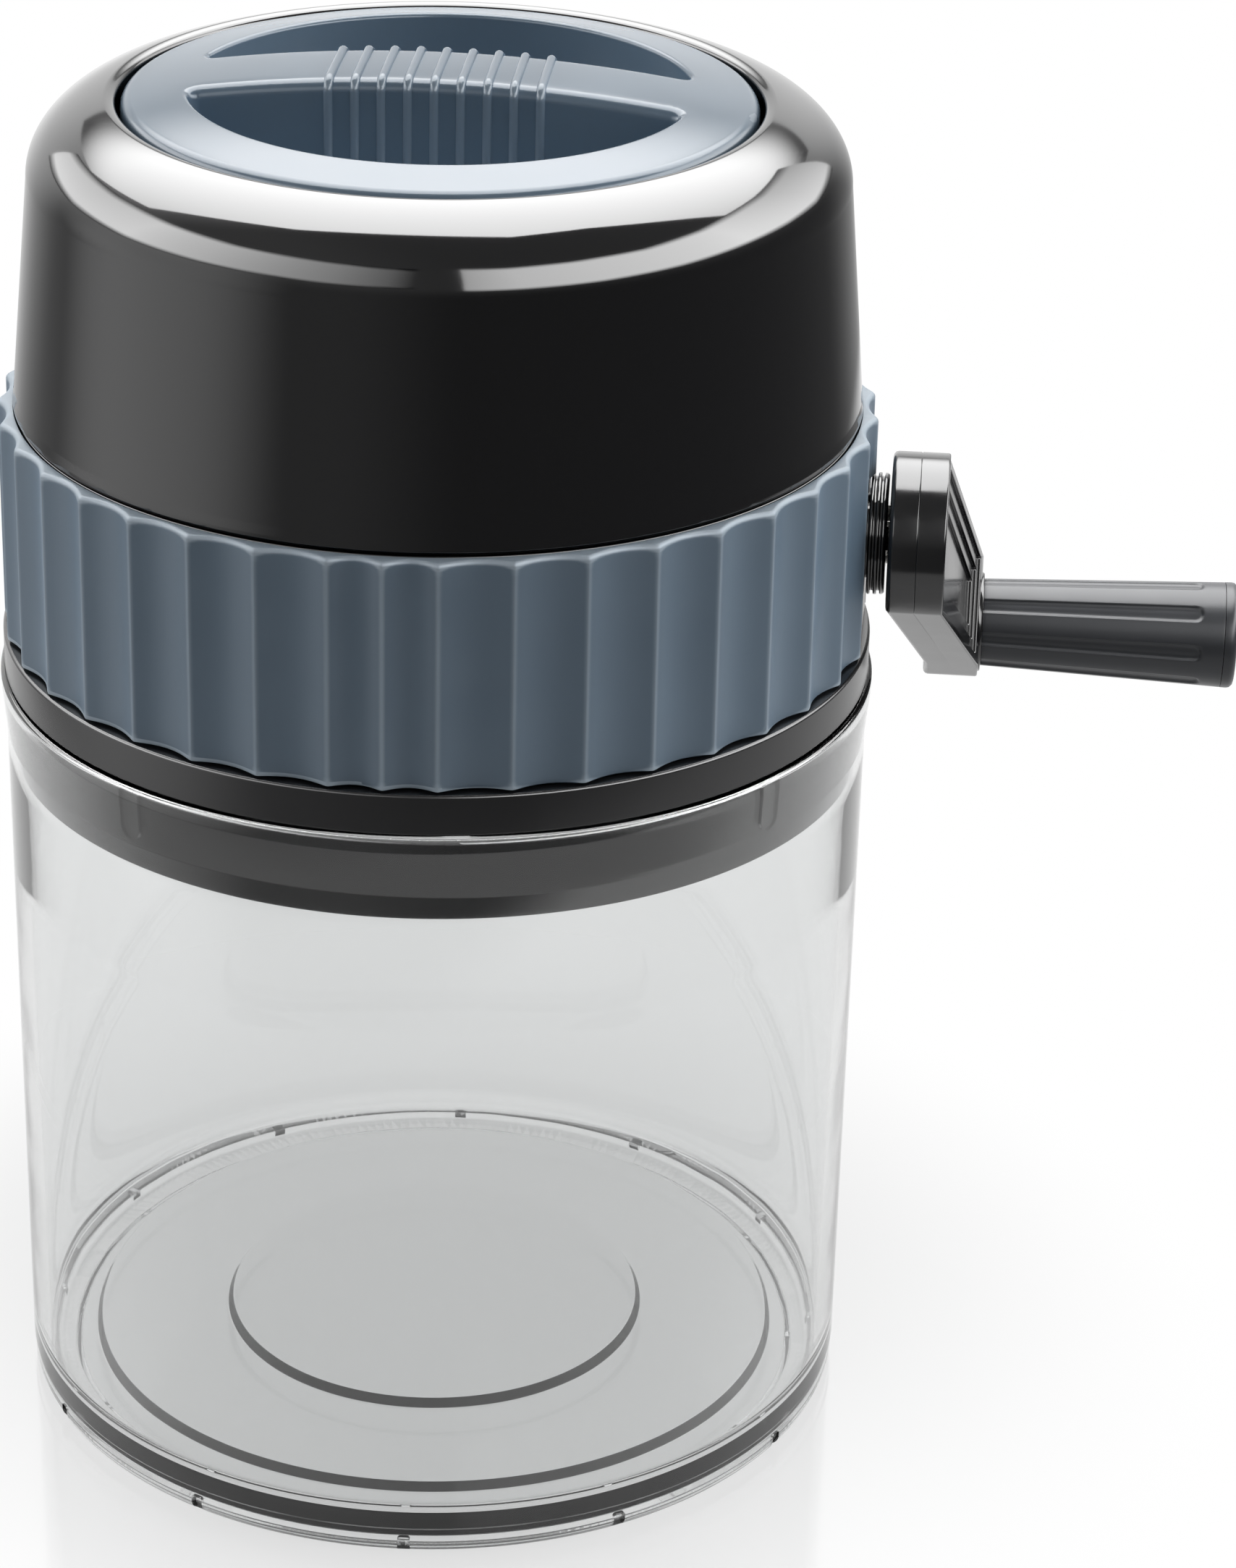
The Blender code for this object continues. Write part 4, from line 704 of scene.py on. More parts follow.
def make_lower_housing(material):
    """Black housing: skirt with keys inside the jar, band on its lip, wall behind the ring."""
    skirt = JAR_BORE - 0.4
    wall_inner = HOUSING_RADIUS - HOUSING_WALL
    head_foot = JAR_TOP + SEAT_GAP
    profile = [
        (skirt, SKIRT_BOTTOM, 0.4), (skirt, head_foot, 0.2), (BAND_RADIUS, head_foot, 0.35),
        (BAND_RADIUS, BAND_TOP, 0.45), (HOUSING_RADIUS, BAND_TOP, 0.15), (HOUSING_RADIUS, HOUSING_TOP, 0.2),
        (wall_inner, HOUSING_TOP, 0.2), (wall_inner, LEDGE_TOP, 0.4), (LEDGE_RADIUS, LEDGE_TOP, 0.3),
        (LEDGE_RADIUS, LEDGE_TOP - LEDGE_THICKNESS, 0.3), (skirt - 2.0, LEDGE_TOP - LEDGE_THICKNESS, 0.6),
        (skirt - 2.0, SKIRT_BOTTOM, 0.4),
    ]
    parts = [spun(filleted(profile))]
    parts += key_bars(skirt - 1.0, skirt + KEY_PROUD, KEY_WIDTH,
                      JAR_TOP - KEY_HEIGHT - KEY_WIDTH / 2 + SEAT_GAP, head_foot + 0.2)
    low = BAND_TOP - 0.2
    pad = [(-PAD_RADIUS, low), (PAD_RADIUS, low)]
    pad += arc((0.0, SHAFT_Z), (PAD_RADIUS, PAD_RADIUS), 0, 180, 40)
    parts.append(slab(pad, HOUSING_RADIUS - 1.0, PAD_FACE, crosswise, 0.35))
    for k in (1, 2, 3):
        spot = sum(span(f"deck_screw_{k}"), Vector()) / 2
        boss = [(0.0, LEDGE_TOP - 8.0), (BOSS_RADIUS, LEDGE_TOP - 8.0, 0.4), (BOSS_RADIUS, LEDGE_TOP - 0.4),
                (0.0, LEDGE_TOP - 0.4)]

        def beside(radius, station, angle, spot=spot):
            return about_jar(radius, station, angle) + Vector((spot.x, spot.y, 0))
        parts.append(spun(filleted(boss, closed=False), beside, SMALL_SEGMENTS // 2, closed=False))
    housing = look("lower_housing", parts)
    dress(housing, material, "head")


def make_dome(material):
    """Upper housing: a straight drawn-in wall, an elliptical shoulder and the filling opening."""
    low = HOUSING_TOP + SEAT_GAP
    centre = (SHOULDER_FOOT - SHOULDER[0], SHOULDER_Z)
    opening = math.degrees(math.acos((OPENING_RADIUS + 1.2 - centre[0]) / SHOULDER[0]))
    shoulder = arc(centre, SHOULDER, 0, opening, 40)
    edge = shoulder[-1][1]
    outer = [(DOME_FOOT - 0.25, low, 0.15), (DOME_FOOT, low + 0.35, 0.2), (DOME_FOOT, low + 0.8, 0.5),
             (56.0, low + 2.0, 1.0)]
    outer += shoulder
    outer += [(OPENING_RADIUS, edge - 0.35, 0.8), (OPENING_RADIUS, edge - 5.5, 0.5),
              (OPENING_RADIUS + DOME_WALL, edge - 5.5, 0.5)]
    hollow = (SHOULDER[0] - DOME_WALL, SHOULDER[1] - DOME_WALL)
    start = math.degrees(math.acos((OPENING_RADIUS + DOME_WALL - centre[0]) / hollow[0]))
    spigot = HOUSING_RADIUS - HOUSING_WALL - SEAT_GAP
    inner = arc(centre, hollow, start, 0, 24)
    inner += [(spigot - 1.6, low, 1.0), (spigot - 1.6, DOME_SPIGOT_LOW, 0.3), (spigot, DOME_SPIGOT_LOW, 0.5),
              (spigot, low, 0.1)]
    turned_piece("dome", outer + inner, material, "head")


def flute_edges():
    """Turns of the ridges from the front, all the way round."""
    turns = [0.0, NARROW_FLUTE_TURN]
    for k in range(WIDE_FLUTES):
        turns.append(turns[-1] + FLUTE_TURN)
        if k == WIDE_FLUTES // 2 - 1:
            turns += [turns[-1] + NARROW_FLUTE_TURN, turns[-1] + 2 * NARROW_FLUTE_TURN]
    scale = 360.0 / (turns[-1] + NARROW_FLUTE_TURN)
    return [math.radians(turn * scale) for turn in turns] + [math.tau]


def make_grip_ring(material):
    """Soft ring with upright flutes that meet in rounded ridges, notched round the collar."""
    inner = HOUSING_RADIUS + SEAT_GAP
    edges = flute_edges()
    columns = []
    for start, end in zip(edges, edges[1:]):
        half = (end - start) / 2 * RING_RADIUS
        sagged = math.hypot(half, RIDGE_ROUNDING) - RIDGE_ROUNDING
        for k in range(FLUTE_COLUMNS):
            share = 0.5 - 0.5 * math.cos(math.pi * k / FLUTE_COLUMNS)
            near = min(share, 1 - share) * 2 * half
            climb = (math.hypot(near, RIDGE_ROUNDING) - RIDGE_ROUNDING) / sagged
            radius = RING_RADIUS - FLUTE_DEPTH * (1 - (1 - climb) ** 2)
            columns.append((front(start + (end - start) * share), radius))
    wall_top = HOUSING_TOP - RING_EDGE
    # The lower edge is rounded less, and rows near both edges keep the painted edge highlight off the flutes
    rows = [(0.3, RING_LOW), (0.09, RING_LOW + 0.09), (0.0, RING_LOW + 0.3), (0.0, RING_LOW + 0.7),
            (0.0, RING_LOW + 1.4), (0.0, wall_top - 1.2), (0.0, wall_top - 0.4)]
    rows += edge_rows(RING_LOW, HOUSING_TOP, RING_EDGE)[4:]
    rings = [[about_jar(radius - inset, station, angle) for angle, radius in columns]
             for inset, station in rows]
    rings += [[about_jar(inner, station, angle) for angle, radius in columns]
              for station in (HOUSING_TOP, RING_LOW)]
    ring = look("grip_ring", [lofted(rings, closed=True)])
    outline = [(-NOTCH_RADIUS, RING_LOW - 1.0), (NOTCH_RADIUS, RING_LOW - 1.0)]
    outline += arc((0.0, SHAFT_Z), (NOTCH_RADIUS, NOTCH_RADIUS), 0, 180, 48)
    cut(ring, [slab(outline, inner - 6.0, RING_RADIUS + 1.0, crosswise, 0.01)])
    dress(ring, material, "head", bevel=0.25)


def throat_point(angle, half_length, half_width, corner):
    """Where a ray from the middle meets a rounded rectangle."""
    c = math.cos(angle)
    s = math.sin(angle)
    reach = min(half_length / max(abs(c), 1e-9), half_width / max(abs(s), 1e-9))
    corner_x = half_length - corner
    corner_y = half_width - corner
    if abs(reach * c) > corner_x and abs(reach * s) > corner_y:
        along = abs(c) * corner_x + abs(s) * corner_y
        reach = along + math.sqrt(along ** 2 - corner_x ** 2 - corner_y ** 2 + corner ** 2)
    return reach * c, reach * s


def throat(grow, segments=SHELL_SEGMENTS):
    return [throat_point(math.tau * k / segments, CHUTE_END + grow, CHUTE_SIDE + grow,
                         CHUTE_CORNER + grow) for k in range(segments)]


def round_outline(radius, segments=SHELL_SEGMENTS):
    return arc((0.0, 0.0), (radius, radius), 0, 360, segments)[:-1]


def make_hopper(material):
    """Funnel from the round filling opening to the mouth of the chute."""
    wall = 2.0
    cone_top = HOPPER_TOP - 9.0
    soft = 0.35

    def level(outline, height):
        return [upright(a, b, height) for a, b in outline]

    rings = [
        level(throat(-soft), HOPPER_LOW), level(throat(0.0), HOPPER_LOW + soft),
        level(throat(0.0), HOPPER_LOW + wall), level(round_outline(HOPPER_RADIUS), cone_top),
        level(round_outline(HOPPER_RADIUS), HOPPER_TOP - soft),
        level(round_outline(HOPPER_RADIUS - soft), HOPPER_TOP),
        level(round_outline(HOPPER_RADIUS - wall + soft), HOPPER_TOP),
        level(round_outline(HOPPER_RADIUS - wall), HOPPER_TOP - soft),
        level(round_outline(HOPPER_RADIUS - wall), cone_top + wall / 2),
        level(throat(-CHUTE_WALL), HOPPER_LOW + wall), level(throat(-CHUTE_WALL), HOPPER_LOW),
    ]
    hopper = look("hopper", [lofted(rings, closed=True)])
    dress(hopper, material, "head")


def make_crusher_body(material):
    """Chute round the rotor, standing on a round deck."""
    chute = slab(throat(0.0), CHUTE_LOW, CHUTE_TOP, upright, 0.4, hole=throat(-CHUTE_WALL))
    deck_low = LEDGE_TOP + SEAT_GAP
    deck = slab(round_outline(DECK_RADIUS), deck_low, deck_low + DECK_THICKNESS, upright, 0.35,
                hole=throat(-CHUTE_WALL / 2))
    body = look("crusher_body", [chute, deck])
    dress(body, material, "head")


def make_comb(node, side, slot_half, stations, material):
    """Bent steel plate with slots that the rotor blades pass through."""
    low, high = span(node)
    wall = max(abs(low.y), abs(high.y))
    tip = min(abs(low.y), abs(high.y))
    thick = 2.0
    flange = wall - 1.5
    outline = filleted([
        (tip, low.z, 0.3), (wall, low.z, 2.6), (wall, high.z, 0.5), (flange, high.z, 0.5),
        (flange, low.z + thick, 1.1), (tip + thick, low.z + thick, 0.4),
    ])
    plate = [(side * a, b) for a, b in outline]
    comb = look(node, [slab(plate, low.x, high.x, crosswise, 0.2)])
    slots = []
    for x in stations:
        reach = flange - 0.6
        shape = [(x - slot_half, side * (tip - 2.0)), (x + slot_half, side * (tip - 2.0)),
                 (x + slot_half, side * reach, 0.9), (x - slot_half, side * reach, 0.9)]
        slots.append(slab(filleted(shape), low.z - 1.0, low.z + thick + 1.0, upright, 0.01))
    cut(comb, slots)
    dress(comb, material, "head", bevel=0.2)


def make_screw(node, material):
    """Pan head screw with a cross recess."""
    low, high = span(node)
    middle = (low + high) / 2
    size = high - low
    head = 2.8
    upward = size.z > size.y
    side = 1.0 if middle.y > 0 else -1.0
    outward = Vector((0, 0, 1)) if upward else Vector((0, side, 0))
    length = size.z if upward else size.y
    top = 1.8
    turn = outward.to_track_quat("Z", "Y").to_matrix()
    seat = middle + outward * (length / 2 - top)

    def place(a, b, station):
        return turn @ Vector((a, b, station)) + seat

    def turned(radius, station, angle):
        return place(radius * math.cos(angle), radius * math.sin(angle), station)

    profile = [(0.0, top - length), (0.8, top - length, 0.2), (1.5, top - length + 1.2, 0.2), (1.5, 0.0),
               (head, 0.0, 0.2), (head, 0.9, 0.7), (1.5, top, 0.8), (0.0, top)]
    screw = look(node, [spun(filleted(profile, closed=False), turned, SMALL_SEGMENTS // 2, closed=False)])
    bars = []
    for long_side, short_side in ((1.5, 0.32), (0.32, 1.5)):
        bar = [(-long_side, -short_side), (long_side, -short_side), (long_side, short_side),
               (-long_side, short_side)]
        bars.append(slab(bar, top - 0.9, top + 1.0, place, 0.01))
    for bar in bars:
        cut(screw, [bar])
    dress(screw, material, "head")


def make_bush(node, material):
    """Flanged plain bearing in a side wall of the chute."""
    low, high = span(node)
    side = 1.0 if high.x > 0 else -1.0
    inner_end = min(abs(low.x), abs(high.x))
    outer_end = max(abs(low.x), abs(high.x))
    profile = filleted([
        (SHAFT_BORE, inner_end, 0.2), (BUSH_RADIUS, inner_end, 0.3), (BUSH_RADIUS, CHUTE_END + SEAT_GAP),
        (FLANGE_RADIUS, CHUTE_END + SEAT_GAP), (FLANGE_RADIUS, outer_end, 0.4), (SHAFT_BORE, outer_end, 0.3),
    ])
    bush = look(node, [spun([(r, side * x) for r, x in profile], about_shaft, SMALL_SEGMENTS)])
    dress(bush, material, "head")


def make_collar(material):
    """Grooved collar on the housing that the shaft comes through."""
    start = PAD_FACE + SEAT_GAP
    length = COLLAR_FACE - start
    spigot, depth = COLLAR_SPIGOT
    profile = [(SHAFT_BORE, start - depth, 0.2), (spigot, start - depth, 0.3), (spigot, start, 0.1),
               (COLLAR_RADIUS, start, 0.2)]
    for shares in ((0.2, 0.36), (0.56, 0.72)):
        low, high = [start + share * length for share in shares]
        profile += [(COLLAR_RADIUS, low, 0.15), (COLLAR_GROOVE, low, 0.12),
                    (COLLAR_GROOVE, high, 0.12), (COLLAR_RADIUS, high, 0.15)]
    profile += [(FLANGE_RADIUS, start + length, 0.4), (SHAFT_BORE, start + length, 0.3)]
    turned_piece("crank_collar", profile, material, "head", about_shaft, SMALL_SEGMENTS)


def hexagon(corner_radius, per_side):
    """Hexagon with points along its sides, in the crank's frame."""
    turns = [math.tau * k / 6 for k in range(6)]
    corners = [Vector((corner_radius * math.cos(t), corner_radius * math.sin(t))) for t in turns]
    points = []
    for k in range(6):
        points += [tuple(corners[k].lerp(corners[(k + 1) % 6], i / per_side)) for i in range(per_side)]
    return points


def make_shaft(material):
    """Steel shaft: round journals and hexagonal seats for the blades and the crank."""
    low, high = span("drive_shaft")
    count = 48
    chamfer = 0.5
    hexed = hexagon(SHAFT_RADIUS, count // 6)
    circle = round_outline(SHAFT_RADIUS, count)
    chamfered = round_outline(SHAFT_RADIUS - chamfer, count)
    journal = CHUTE_END - CHUTE_WALL - 2 * SEAT_GAP
    stations = [(low.x, chamfered), (low.x + chamfer, circle), (-journal - 0.3, circle), (-journal, hexed),
                (journal, hexed), (journal + 0.3, circle), (HUB_START - 0.3, circle), (HUB_START, hexed),
                (high.x, hexed)]
    shaft = look("drive_shaft", [lofted([[on_crank(a, b, x) for a, b in ring] for x, ring in stations])])
    dress(shaft, material, "crank", bevel=0.08)


def make_blade(number, material):
    """Stamped blade with three hooked teeth, turned on from the last one."""
    low, high = span(f"rotor_blade_{number}")
    teeth = 3
    per_tooth = 32
    hook = 0.12
    tip = 17.0
    root = 9.0
    outline = []
    for k in range(teeth * per_tooth):
        share = (k % per_tooth) / per_tooth
        fall = max(0.0, share - hook) / (1 - hook)
        radius = tip - (tip - root) * math.sin(fall * math.pi / 2)
        angle = math.tau * (k // per_tooth + share) / teeth + number * math.radians(24)
        outline.append((radius * math.cos(angle), radius * math.sin(angle)))
    bore = hexagon(SHAFT_BORE, teeth * per_tooth // 6)
    rings = []
    for inset, station in edge_rows(low.x, high.x, 0.18, 2):
        rings.append([on_crank(a, b, station) for a, b in grown(outline, -inset)])
    rings += [[on_crank(a, b, station) for a, b in bore] for station in (high.x, low.x)]
    blade = look(f"rotor_blade_{number}", [lofted(rings, closed=True)])
    dress(blade, material, "crank")


def make_sleeve(node, radius, edge, material):
    """A plain ring on the shaft, such as a spacer or the shaft clip."""
    low, high = span(node)
    profile = [(SHAFT_BORE, low.x, edge), (radius, low.x, edge), (radius, high.x, edge),
               (SHAFT_BORE, high.x, edge)]
    turned_piece(node, profile, material, "crank", about_shaft, SMALL_SEGMENTS)


def make_axle(material):
    low, high = span("grip_axle")
    profile = [(0.0, low.x), (AXLE_RADIUS, low.x, 0.3), (AXLE_RADIUS, high.x, 0.4), (0.0, high.x)]
    turned_piece("grip_axle", profile, material, "crank", about_grip, SMALL_SEGMENTS // 2, False)


def leaning(a, b, station):
    """Crank place on faces that lean out along the arm and are level at its end."""
    return on_crank(a, b, station + ARM_LEAN / LEAN_LENGTH * min(max(a, 0.0), LEAN_LENGTH))


def arm_outline():
    """The arm's outline, and the places in it where its faces fold at the bend and the hub."""
    sweep = math.radians(85)
    share = LEAN_LENGTH / (THROW + ARM_END * math.cos(sweep))
    width = HUB_RADIUS + (ARM_END * math.sin(sweep) - HUB_RADIUS) * share
    tip = arc((THROW, 0.0), (ARM_END, ARM_END), -85, 85, 36)
    hub = arc((0.0, 0.0), (HUB_RADIUS, HUB_RADIUS), 90, 270, 60)
    outline = [(LEAN_LENGTH, -width), *tip, (LEAN_LENGTH, width), *hub]
    return outline, (0, len(tip) + 1), (len(tip) + 2, len(outline) - 1)


def recess_ring(step, offset, station):
    """One row round a recess, drawn in from its edge by the offset."""
    slope = (HUB_RADIUS - ARM_END) / THROW
    inset = ARM_RIM + (step - 1) * RECESS_INSET + offset
    start = step * RECESS_START + offset
    end = RECESS_END - (step - 1) * RECESS_SHIFT - offset
    near = HUB_RADIUS - slope * start - inset
    far = HUB_RADIUS - slope * end - inset
    corners = [(start, -near, 0.4), (end, -far, 0.4), (end, far, 0.4), (start, near, 0.4)]
    return [(a, b, station) for a, b in filleted(corners)]


def recess_rows(face):
    """Rows from the arm's outer face down the three steps of the recess."""
    rows = []
    for step in (1, 2, 3):
        high = face - (step - 1) * RECESS_DEPTH
        low = high - RECESS_DEPTH
        for offset, station in ((-0.12, high), (-0.035, high - 0.035), (0.0, high - 0.12),
                                (0.0, low + 0.06), (0.06, low)):
            rows.append(recess_ring(step, offset, station))
    return rows


def make_crank_arm(material):
    """Round hub and a leaning arm whose outer face is stepped inwards three times."""
    face = HUB_START + HUB_LENGTH
    outline, bend, root = arm_outline()
    rows = edge_rows(HUB_START, face, 0.7)[:4] + edge_rows(HUB_START, face, 0.3)[4:]
    middle = (HUB_START + face) / 2
    rows[4:4] = [(0.0, middle - 0.12), (0.1, middle), (0.0, middle + 0.12)]
    rings = []
    for inset, station in rows:
        ring = grown(outline, -inset)
        if station == middle:
            ring = [spot if spot[0] < 0.1 else plain for spot, plain in zip(ring, outline)]
        rings.append([(a, b, station) for a, b in ring])
    recess = recess_rows(face)
    half_turn = math.degrees(math.acos((LEAN_LENGTH - THROW) / (SEAT_RADIUS + 0.1)))
    steps = 40
    circle = [math.radians(-half_turn + half_turn * k / steps) for k in range(2 * steps)]
    circle += [math.radians(half_turn + (180 - half_turn) * k / 8) for k in range(16)]

    def seat_ring(radius):
        return [(THROW + radius * math.cos(t), radius * math.sin(t)) for t in circle]

    foot = [(a, b, face) for a, b in seat_ring(SEAT_RADIUS + 0.1)]
    holes = [[spot[:2] for spot in recess[0]], [spot[:2] for spot in foot]]
    first = len(outline) + len(recess[0])
    top_folds = [(bend[0], first), (first + 2 * steps, bend[1]), root]
    level = [spot[:2] for spot in rings[0]]
    parts = [
        skin([level], lambda a, b: leaning(a, b, HUB_START), folds=[bend, root]),
        open_loft([[leaning(*spot) for spot in ring] for ring in rings]),
        skin([[spot[:2] for spot in rings[-1]], *holes], lambda a, b: leaning(a, b, face), folds=top_folds),
        open_loft([[leaning(*spot) for spot in ring] for ring in recess], cap=True),
    ]
    seat = [[leaning(*spot) for spot in foot],
            [leaning(a, b, face + 0.1) for a, b in seat_ring(SEAT_RADIUS)]]
    seat += [[on_crank(a, b, station) for a, b in seat_ring(radius)]
             for radius, station in ((SEAT_RADIUS, ARM_FACE - 0.12), (SEAT_RADIUS - 0.12, ARM_FACE))]
    parts.append(open_loft(seat, cap=True))
    dress(look("crank_arm", parts), material, "crank")


def smooth_step(value, width):
    share = max(0.0, min(1.0, value / width))
    return share * share * (3 - 2 * share)


def grip_radius(station):
    share = (station - GRIP_START) / (GRIP_END - GRIP_START)
    return GRIP_RADII[0] + (GRIP_RADII[1] - GRIP_RADII[0]) * share


def make_grip(material):
    """Tapered sleeve with long sunk panels that end before the cap."""
    near_edge = [-0.26, -0.245, -0.235, -0.225, -0.215, -0.2, -0.18]
    shares = [-0.5, -0.42, -0.34, -0.29] + near_edge + [-0.12, -0.06, 0.0]
    shares += [-share for share in reversed(shares[1:-1])]
    panel_end = GRIP_END - PANEL_END
    start = ARM_FACE + 0.05
    stations = [start, start + 0.04, GRIP_START + 0.3]
    stations += [GRIP_START + 0.3 + (panel_end - 2.4 - GRIP_START) * k / 12 for k in range(1, 13)]
    stations += [panel_end - 2.1 + 2.4 * k / 12 for k in range(1, 13)]
    stations += [SLEEVE_END - 0.3, SLEEVE_END - 0.12, SLEEVE_END]
    corner = 1.3
    end_edge = 0.3
    end_reach = 0.08
    rings = []
    for x in stations:
        ring = []
        soft = max(0.0, end_reach - min(x - start, SLEEVE_END - x))
        round_off = end_edge - math.sqrt(end_edge ** 2 - soft ** 2)
        for panel in range(GRIP_PANELS):
            for share in shares:
                radius = grip_radius(x)
                beside = (PANEL_SHARE / 2 - abs(share)) * math.tau * radius / GRIP_PANELS
                ahead = panel_end - x
                if beside < corner and ahead < corner:
                    inside = corner - math.hypot(corner - beside, corner - ahead)
                else:
                    inside = min(beside, ahead)
                depth = PANEL_DEPTH * smooth_step(inside, 0.42)
                angle = math.tau * (panel + share) / GRIP_PANELS
                ring.append(about_grip(radius - depth - round_off, x, angle))
        rings.append(ring)
    count = len(rings[0])
    for x in (SLEEVE_END, start):
        rings.append([about_grip(AXLE_BORE, x, math.tau * (k / count - 0.5 / GRIP_PANELS))
                      for k in range(count)])
    grip = look("crank_grip", [lofted(rings, closed=True)])
    dress(grip, material, "grip")


def make_grip_cap(material):
    start = SLEEVE_END + 0.06
    radius = grip_radius(GRIP_END)
    profile = [(0.0, start - 2.5), (2.7, start - 2.5, 0.3), (2.7, start), (radius - 0.05, start, 0.06),
               (radius, GRIP_END - 0.12, 1.4), (radius - 3.4, GRIP_END, 4.0), (0.0, GRIP_END)]
    turned_piece("grip_cap", profile, material, "grip", about_grip, SMALL_SEGMENTS, False)


def crown_height(x, y):
    """Height of the lid's shallow crown."""
    return CROWN - (CROWN - RIM_Z) * (x * x + y * y) / RIM_RADIUS ** 2


def pocket_line(side):
    """Points and outward directions round one finger pocket."""
    high = BAR_HALF + POCKET_CORNER
    reach = math.sqrt((POCKET_RADIUS - POCKET_CORNER) ** 2 - high ** 2)
    turn = math.degrees(math.atan2(high, reach))
    line = []
    for centre, radius, start, end, steps in (
            ((reach, high), POCKET_CORNER, -90, turn, 12), ((0, 0), POCKET_RADIUS, turn, 180 - turn, 72),
            ((-reach, high), POCKET_CORNER, 180 - turn, 270, 12)):
        for k in range(steps + 1):
            angle = math.radians(start + (end - start) * k / steps)
            out = Vector((math.cos(angle), math.sin(angle)))
            spot = Vector(centre) + out * radius
            if line and (spot - line[-1][0]).length < 0.01:
                continue
            line.append((spot, out))
    chord = 40
    for k in range(1, chord):
        line.append((Vector((-reach + 2 * reach * k / chord, BAR_HALF)), Vector((0.0, -1.0))))
    return [(Vector((side * spot.x, side * spot.y)), out * side) for spot, out in line]


def pocket_rounding(out, side):
    """Edge rounding: generous along the bar, small round the outside."""
    toward_bar = smooth_step(-out.y * side, 1.0)
    return 0.7 + 0.9 * toward_bar


def pocket_rings(side):
    """Rows from the crown over the rounded edge and down the drafted wall to the floor."""
    line = pocket_line(side)
    rings = []
    for k in range(7):
        t = math.pi / 2 * k / 6
        ring = []
        for spot, out in line:
            rounding = pocket_rounding(out, side)
            place = spot + out * rounding * (1 - math.sin(t))
            height = crown_height(place.x, place.y) - rounding * (1 - math.cos(t))
            ring.append(Vector((place.x, place.y, height)))
        rings.append(ring)
    for inset, height in ((0.25, POCKET_FLOOR + 1.2), (0.34, POCKET_FLOOR + 0.74), (0.6, POCKET_FLOOR + 0.35),
                          (1.0, POCKET_FLOOR + 0.09), (1.45, POCKET_FLOOR)):
        rings.append([Vector((*(spot - out * inset), height)) for spot, out in line])
    return rings


def inside_pocket(x, y, margin):
    """Whether a place lies in a finger pocket grown by a margin."""
    if math.hypot(x, y) > POCKET_RADIUS + margin:
        return False
    return abs(y) > BAR_HALF - margin


def crown_skin(edge_radius, edge_ring):
    """Triangles over the crown between the rim and the two pockets."""
    pitch = 1.3
    reach = int(edge_radius / pitch)
    spots = []
    for i in range(-reach, reach + 1):
        for j in range(-reach, reach + 1):
            x = (i + 0.5 * (j % 2)) * pitch
            y = j * pitch * math.sqrt(0.75)
            clear = math.hypot(x, y) < edge_radius - 0.8
            if clear and not inside_pocket(x, y, 2.1):
                spots.append((x, y))
    loops = [[(v.x, v.y) for v in ring] for ring in (edge_ring, pocket_rings(1)[0], pocket_rings(-1)[0])]
    return skin(loops, lambda x, y: Vector((x, y, crown_height(x, y))), spots)


def rib_path(x):
    """Path of one rib: from a rounded tip at the bar's rear edge, over the top and down the front."""
    top = crown_height(x, 0.0)
    corners = [(BAR_HALF + 0.9, top - 0.75), (BAR_HALF - 1.1, top, 2.2), (-BAR_HALF - 0.05, top, 1.5),
               (-BAR_HALF - 0.05, POCKET_FLOOR + 0.3)]
    path = []
    for y, z in filleted(corners, closed=False):
        drop = top - crown_height(x, y) if z > top - 1.0 else 0.0
        path.append(Vector((x, y, z - drop)))
    return path


def make_lid(material):
    """Crowned lid with two finger pockets and a ribbed bar between them."""
    edge_radius = LID_RADIUS - LID_EDGE
    edge_z = crown_height(edge_radius, 0.0)
    seat = HOPPER_TOP + SEAT_GAP
    plug = HOPPER_RADIUS - 2.0 - 0.7
    outer = arc((edge_radius, edge_z - LID_EDGE), (LID_EDGE, LID_EDGE), 84, 0, 8)
    profile = [(edge_radius, edge_z)] + outer
    profile += filleted([(LID_RADIUS, seat + 1.2), (LID_RADIUS, seat, 0.3), (plug, seat, 0.4),
                         (plug, LID_PLUG_LOW, 0.6), (0.0, LID_PLUG_LOW)], closed=False)
    verts, faces = spun(profile, closed=False)
    parts = [(verts, faces), crown_skin(edge_radius, verts[:SHELL_SEGMENTS])]
    parts += [open_loft(pocket_rings(side), cap=True) for side in (1, -1)]
    for k in range(RIB_COUNT):
        x = RIB_PITCH * (k - (RIB_COUNT - 1) / 2)
        parts.append(swept(rib_path(x), RIB_RADIUS, Vector((1, 0, 0))))
    lid = look("lid_top", parts)
    dress(lid, material, "lid")


def make_lid_underside(material):
    """Plate that closes the lid from below, with a round rim under it."""
    low, high = span("lid_underside")
    radius = high.y
    plate = high.z - 2.2
    inner, outer = UNDER_RIM
    profile = [(0.0, plate), (inner, plate, 0.4), (inner, low.z, 0.4), (outer, low.z, 0.4),
               (outer, plate, 0.4), (radius, plate, 0.4), (radius, high.z, 0.3), (0.0, high.z)]
    turned_piece("lid_underside", profile, material, "lid", closed=False)


